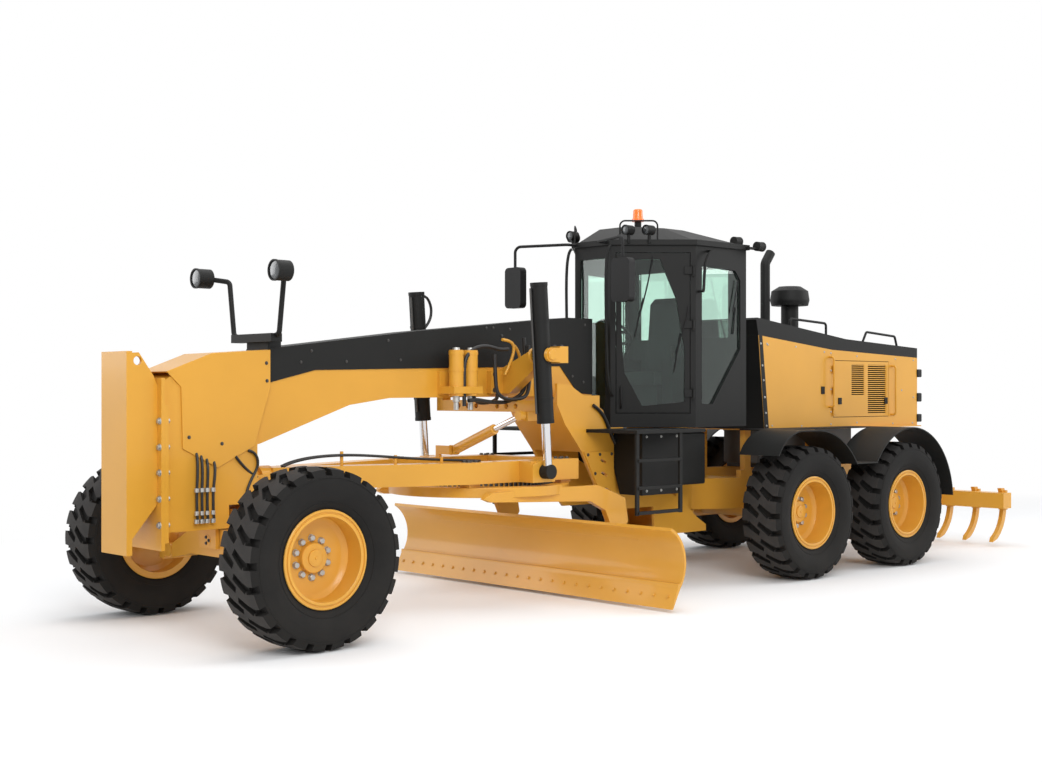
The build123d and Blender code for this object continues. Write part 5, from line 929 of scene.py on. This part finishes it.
for side, hand in SIDES:
    corners = at_x(hand * 0.6395, *STRIP) + at_x(hand * 0.642, *STRIP)
    strip = outward(new_piece([spot(*corner) for corner in corners], BOX_FACES))
    settle(strip, f"hood_strip_{side}", "rear_frame", "black_paint")
    out = (hand, 0, 0)
    bolted(f"strip_bolts_{side}", "rear_frame", "zinc", out, 0.008, at_x(hand * 0.642, *STRIP_BOLTS))
    bolted(f"hood_screws_{side}", "rear_frame", "zinc", out, 0.0075, at_x(hand * 0.64, *HOOD_SCREWS))
    for number, line in enumerate(HOOD_SEAMS):
        # The hood seams are thin dark lines of painted shade for the gaps between the panels.
        seam(at_x(hand * 0.6405, *line), "rear_frame", f"hood_seam_{number}_{side}")
    door = f"hood_door_{side}"
    latches = ((6.84, 1.79, 1.87, "rear_frame"), (8.03, 1.68, 1.75, door), (7.15, 1.68, 1.75, door))
    for number, (aft, low, high, body) in enumerate(latches):
        latch = soft_box((hand * 0.638, hand * 0.649), (aft, aft + 0.06), (low, high), 0.003)
        settle(latch, f"latch_{number}_{side}", body, "black_paint")
    lamps = [soft_box((hand * 0.560, hand * 0.655), (8.690, 8.780), z, 0.012) for z in REAR_LAMPS]
    settle(joined(lamps), f"rear_lamps_{side}", "rear_frame", "black_plastic")
    lenses = [soft_box((hand * 0.572, hand * 0.643), (8.776, 8.786), z, 0.004) for z in REAR_LENSES]
    settle(joined(lenses), f"rear_lenses_{side}", "rear_frame", "lamp_lens")


# Cab: a black welded shell and roof. The panes are flat tempered glass, tinted green and bonded into the
# shell and into each door, which has two wipers and a bar handle by its front post.
for node, width in (("cab_shell", 0.006), ("cab_roof", 0.012)):
    dressed(node, "black_paint", width)
glass = bpy.data.materials.new("tinted_glass")
glass.use_nodes = True
pane_shader = glass.node_tree.nodes["Principled BSDF"]
for socket, value in (
    ("Base Color", (0.66, 0.83, 0.75, 1)), ("Roughness", 0.0), ("IOR", 1.45), ("Transmission Weight", 1.0),
):
    pane_shader.inputs[socket].default_value = value
FINISHES["tinted_glass"] = glass
fixed_panes = frame["nodes"]["cab_glass"]
fixed_panes.data.materials.clear()
fixed_panes.data.materials.append(glass)


def islands(piece):
    """The loose parts of a mesh, as lists of face indices."""
    soup = bmesh.new()
    soup.from_mesh(piece.data)
    soup.faces.ensure_lookup_table()
    found, seen = [], set()
    for face in soup.faces:
        if face.index in seen:
            continue
        stack, group = [face], []
        seen.add(face.index)
        while stack:
            current = stack.pop()
            group.append(current.index)
            for other in (f for edge in current.edges for f in edge.link_faces):
                if other.index not in seen:
                    seen.add(other.index)
                    stack.append(other)
        found.append(group)
    soup.free()
    return found


def only_faces(piece, keep):
    """A new object with just some of a piece's faces."""
    mesh = piece.data.copy()
    soup = bmesh.new()
    soup.from_mesh(mesh)
    kept = set(keep)
    bmesh.ops.delete(soup, geom=[f for f in soup.faces if f.index not in kept], context="FACES")
    soup.to_mesh(mesh)
    soup.free()
    return linked(piece.name, mesh)


WIPERS = (
    ((0.735, 0.010, 2.62), (0.738, 0.020, 2.54), (0.617, -0.004, 2.18)),
    ((0.40, 0.006, 3.09), (0.353, 0.012, 2.80), (0.269, -0.004, 2.51)),
    ((0.66, -0.008, 2.37), (0.60, -0.010, 2.00)), ((0.31, -0.008, 2.70), (0.23, -0.010, 2.33)),
)
HANDLE_U = 0.098
HANDLE_BEND = ((0.0, 1.86), (0.045, 1.855), (0.048, 1.76), (0.045, 1.67), (0.0, 1.665))


def on_door(hand, route):
    """A route of (u, w, z) places on one door's face."""
    return [(hand * x, aft, z) for x, aft, z in (on_face(*place) for place in route)]


for side, hand in SIDES:
    door = f"cab_door_{side}"
    whole = merged_copy(door)
    *panes, door_frame = sorted(islands(whole), key=len)
    settle(broken_edges(only_faces(whole, door_frame), 0.005), door + "_frame", door, "black_paint", door)
    for pane in panes:
        settle(softened(only_faces(whole, pane)), door + "_pane", door, "tinted_glass", door)
    bpy.data.objects.remove(whole)
    wipers = [on_door(hand, wiper) for wiper in WIPERS]
    held_hoses(door + "_wipers", door, "black_plastic", 0.007, wipers, 4)
    handle = on_door(hand, [(HANDLE_U, w, z) for w, z in HANDLE_BEND])
    held_hoses(door + "_handle", door, "black_plastic", 0.010, [handle], 4)
FRONT_TUBE = ((4.020, 3.19), (3.95, 3.15), (3.955, 2.60), (3.965, 2.24), (3.985, 1.82), (4.05, 1.78))
SIDE_TUBE = ((4.805, 3.152), (4.730, 3.098), (4.690, 2.998), (4.690, 2.806), (4.680, 2.763))
TUBE_FEET = ((4.80, 3.150, 3.152), (4.68, 2.763, 2.763))
SIDE_WIPER_ARM = ((5.268, 2.897), (5.190, 2.583))
SIDE_WIPER_BLADE = ((5.249, 2.640), (5.209, 2.374))
for side, hand in SIDES:
    tubes = [at_x(hand * 0.262, *FRONT_TUBE), at_x(hand * 0.840, *SIDE_TUBE)]
    held_hoses(f"cab_tubes_{side}", "front_frame", "black_paint", 0.014, tubes)
    feet = [[(hand * 0.775, aft, z), (hand * 0.842, aft, end)] for aft, z, end in TUBE_FEET]
    held_hoses(f"cab_tube_feet_{side}", "front_frame", "black_paint", 0.012, feet)
    wipers = [at_x(hand * 0.782, *SIDE_WIPER_ARM), at_x(hand * 0.768, *SIDE_WIPER_BLADE)]
    held_hoses(f"side_wipers_{side}", "front_frame", "black_plastic", 0.006, wipers, 4)


# Operator's place: moulded black consoles and steering wheel, and a suspension seat padded with foam
# under a dark woven cloth. All of it stands on the cab's floor.
FINISHES["seat_fabric"] = finish("seat_fabric", (0.030, 0.032, 0.035), 0.85, dust=0.02, drift=0.15, bump=0.0)
dressed("operator_console", "black_plastic", 0.012)
dressed("operator_seat", "seat_fabric", 0.030)


# Mirrors and beacon: moulded black mirror heads on bent tubes, each with a silvered glass that looks
# back, and a beacon moulded from amber resin on its foot above the roof.
dressed("mirrors", "black_plastic", 0.015)
FINISHES["amber_lens"] = finish("amber_lens", (1.0, 0.16, 0.004), 0.18, dust=0.0, drift=0.05, bump=0.0,
                                Coat_Weight=0.6, Emission_Strength=0.35, Emission_Color=(1.0, 0.16, 0.004, 1))
dressed("beacon", "amber_lens", 0.004)
FINISHES["silvered"] = finish("silvered", (0.85, 0.87, 0.88), 0.03, dust=0.0, drift=0.02, bump=0.0,
                              Metallic=1.0)
MIRROR_CENTRE = (0.714, 3.7455, 2.826)
MIRROR_HALF = (0.095, 0.175)
MIRROR_CORNERS = (
    (-0.8, -1), (0.8, -1), (1, -0.85), (1, 0.85), (0.8, 1), (-0.8, 1), (-1, 0.85), (-1, -0.85),
)
for side, hand in SIDES:
    x, aft, z = MIRROR_CENTRE
    outline = [spot(hand * x + MIRROR_HALF[0] * a, aft, z + MIRROR_HALF[1] * b) for a, b in MIRROR_CORNERS]
    behind = [p + Vector((0, 0.0015, 0)) for p in outline]
    faces = [tuple(range(8)), tuple(range(8, 16))]
    faces += [(i, (i + 1) % 8, 8 + (i + 1) % 8, 8 + i) for i in range(8)]
    settle(outward(new_piece(outline + behind, faces)), f"mirror_glass_{side}", "front_frame", "silvered")


# Ripper shanks: seven curved tines of forged plate, painted with their frame. A turned steel cross pin
# holds each of them in its pocket on the beam.
SHANK_PITCH = 0.345
PIN = [(0, 0.0), (0, 0.016), (0.10, 0.016), (0.10, 0.0)]
pins = [turned(PIN, 16, (1, 0, 0), spot(step * SHANK_PITCH - 0.05, 9.925, 0.54)) for step in range(-3, 4)]
settle(joined(pins), "shank_pins", "ripper_frame", "dark_steel")

size = {"cad": [list(c) for c in cad_box], "scene": [list(c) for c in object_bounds()]}
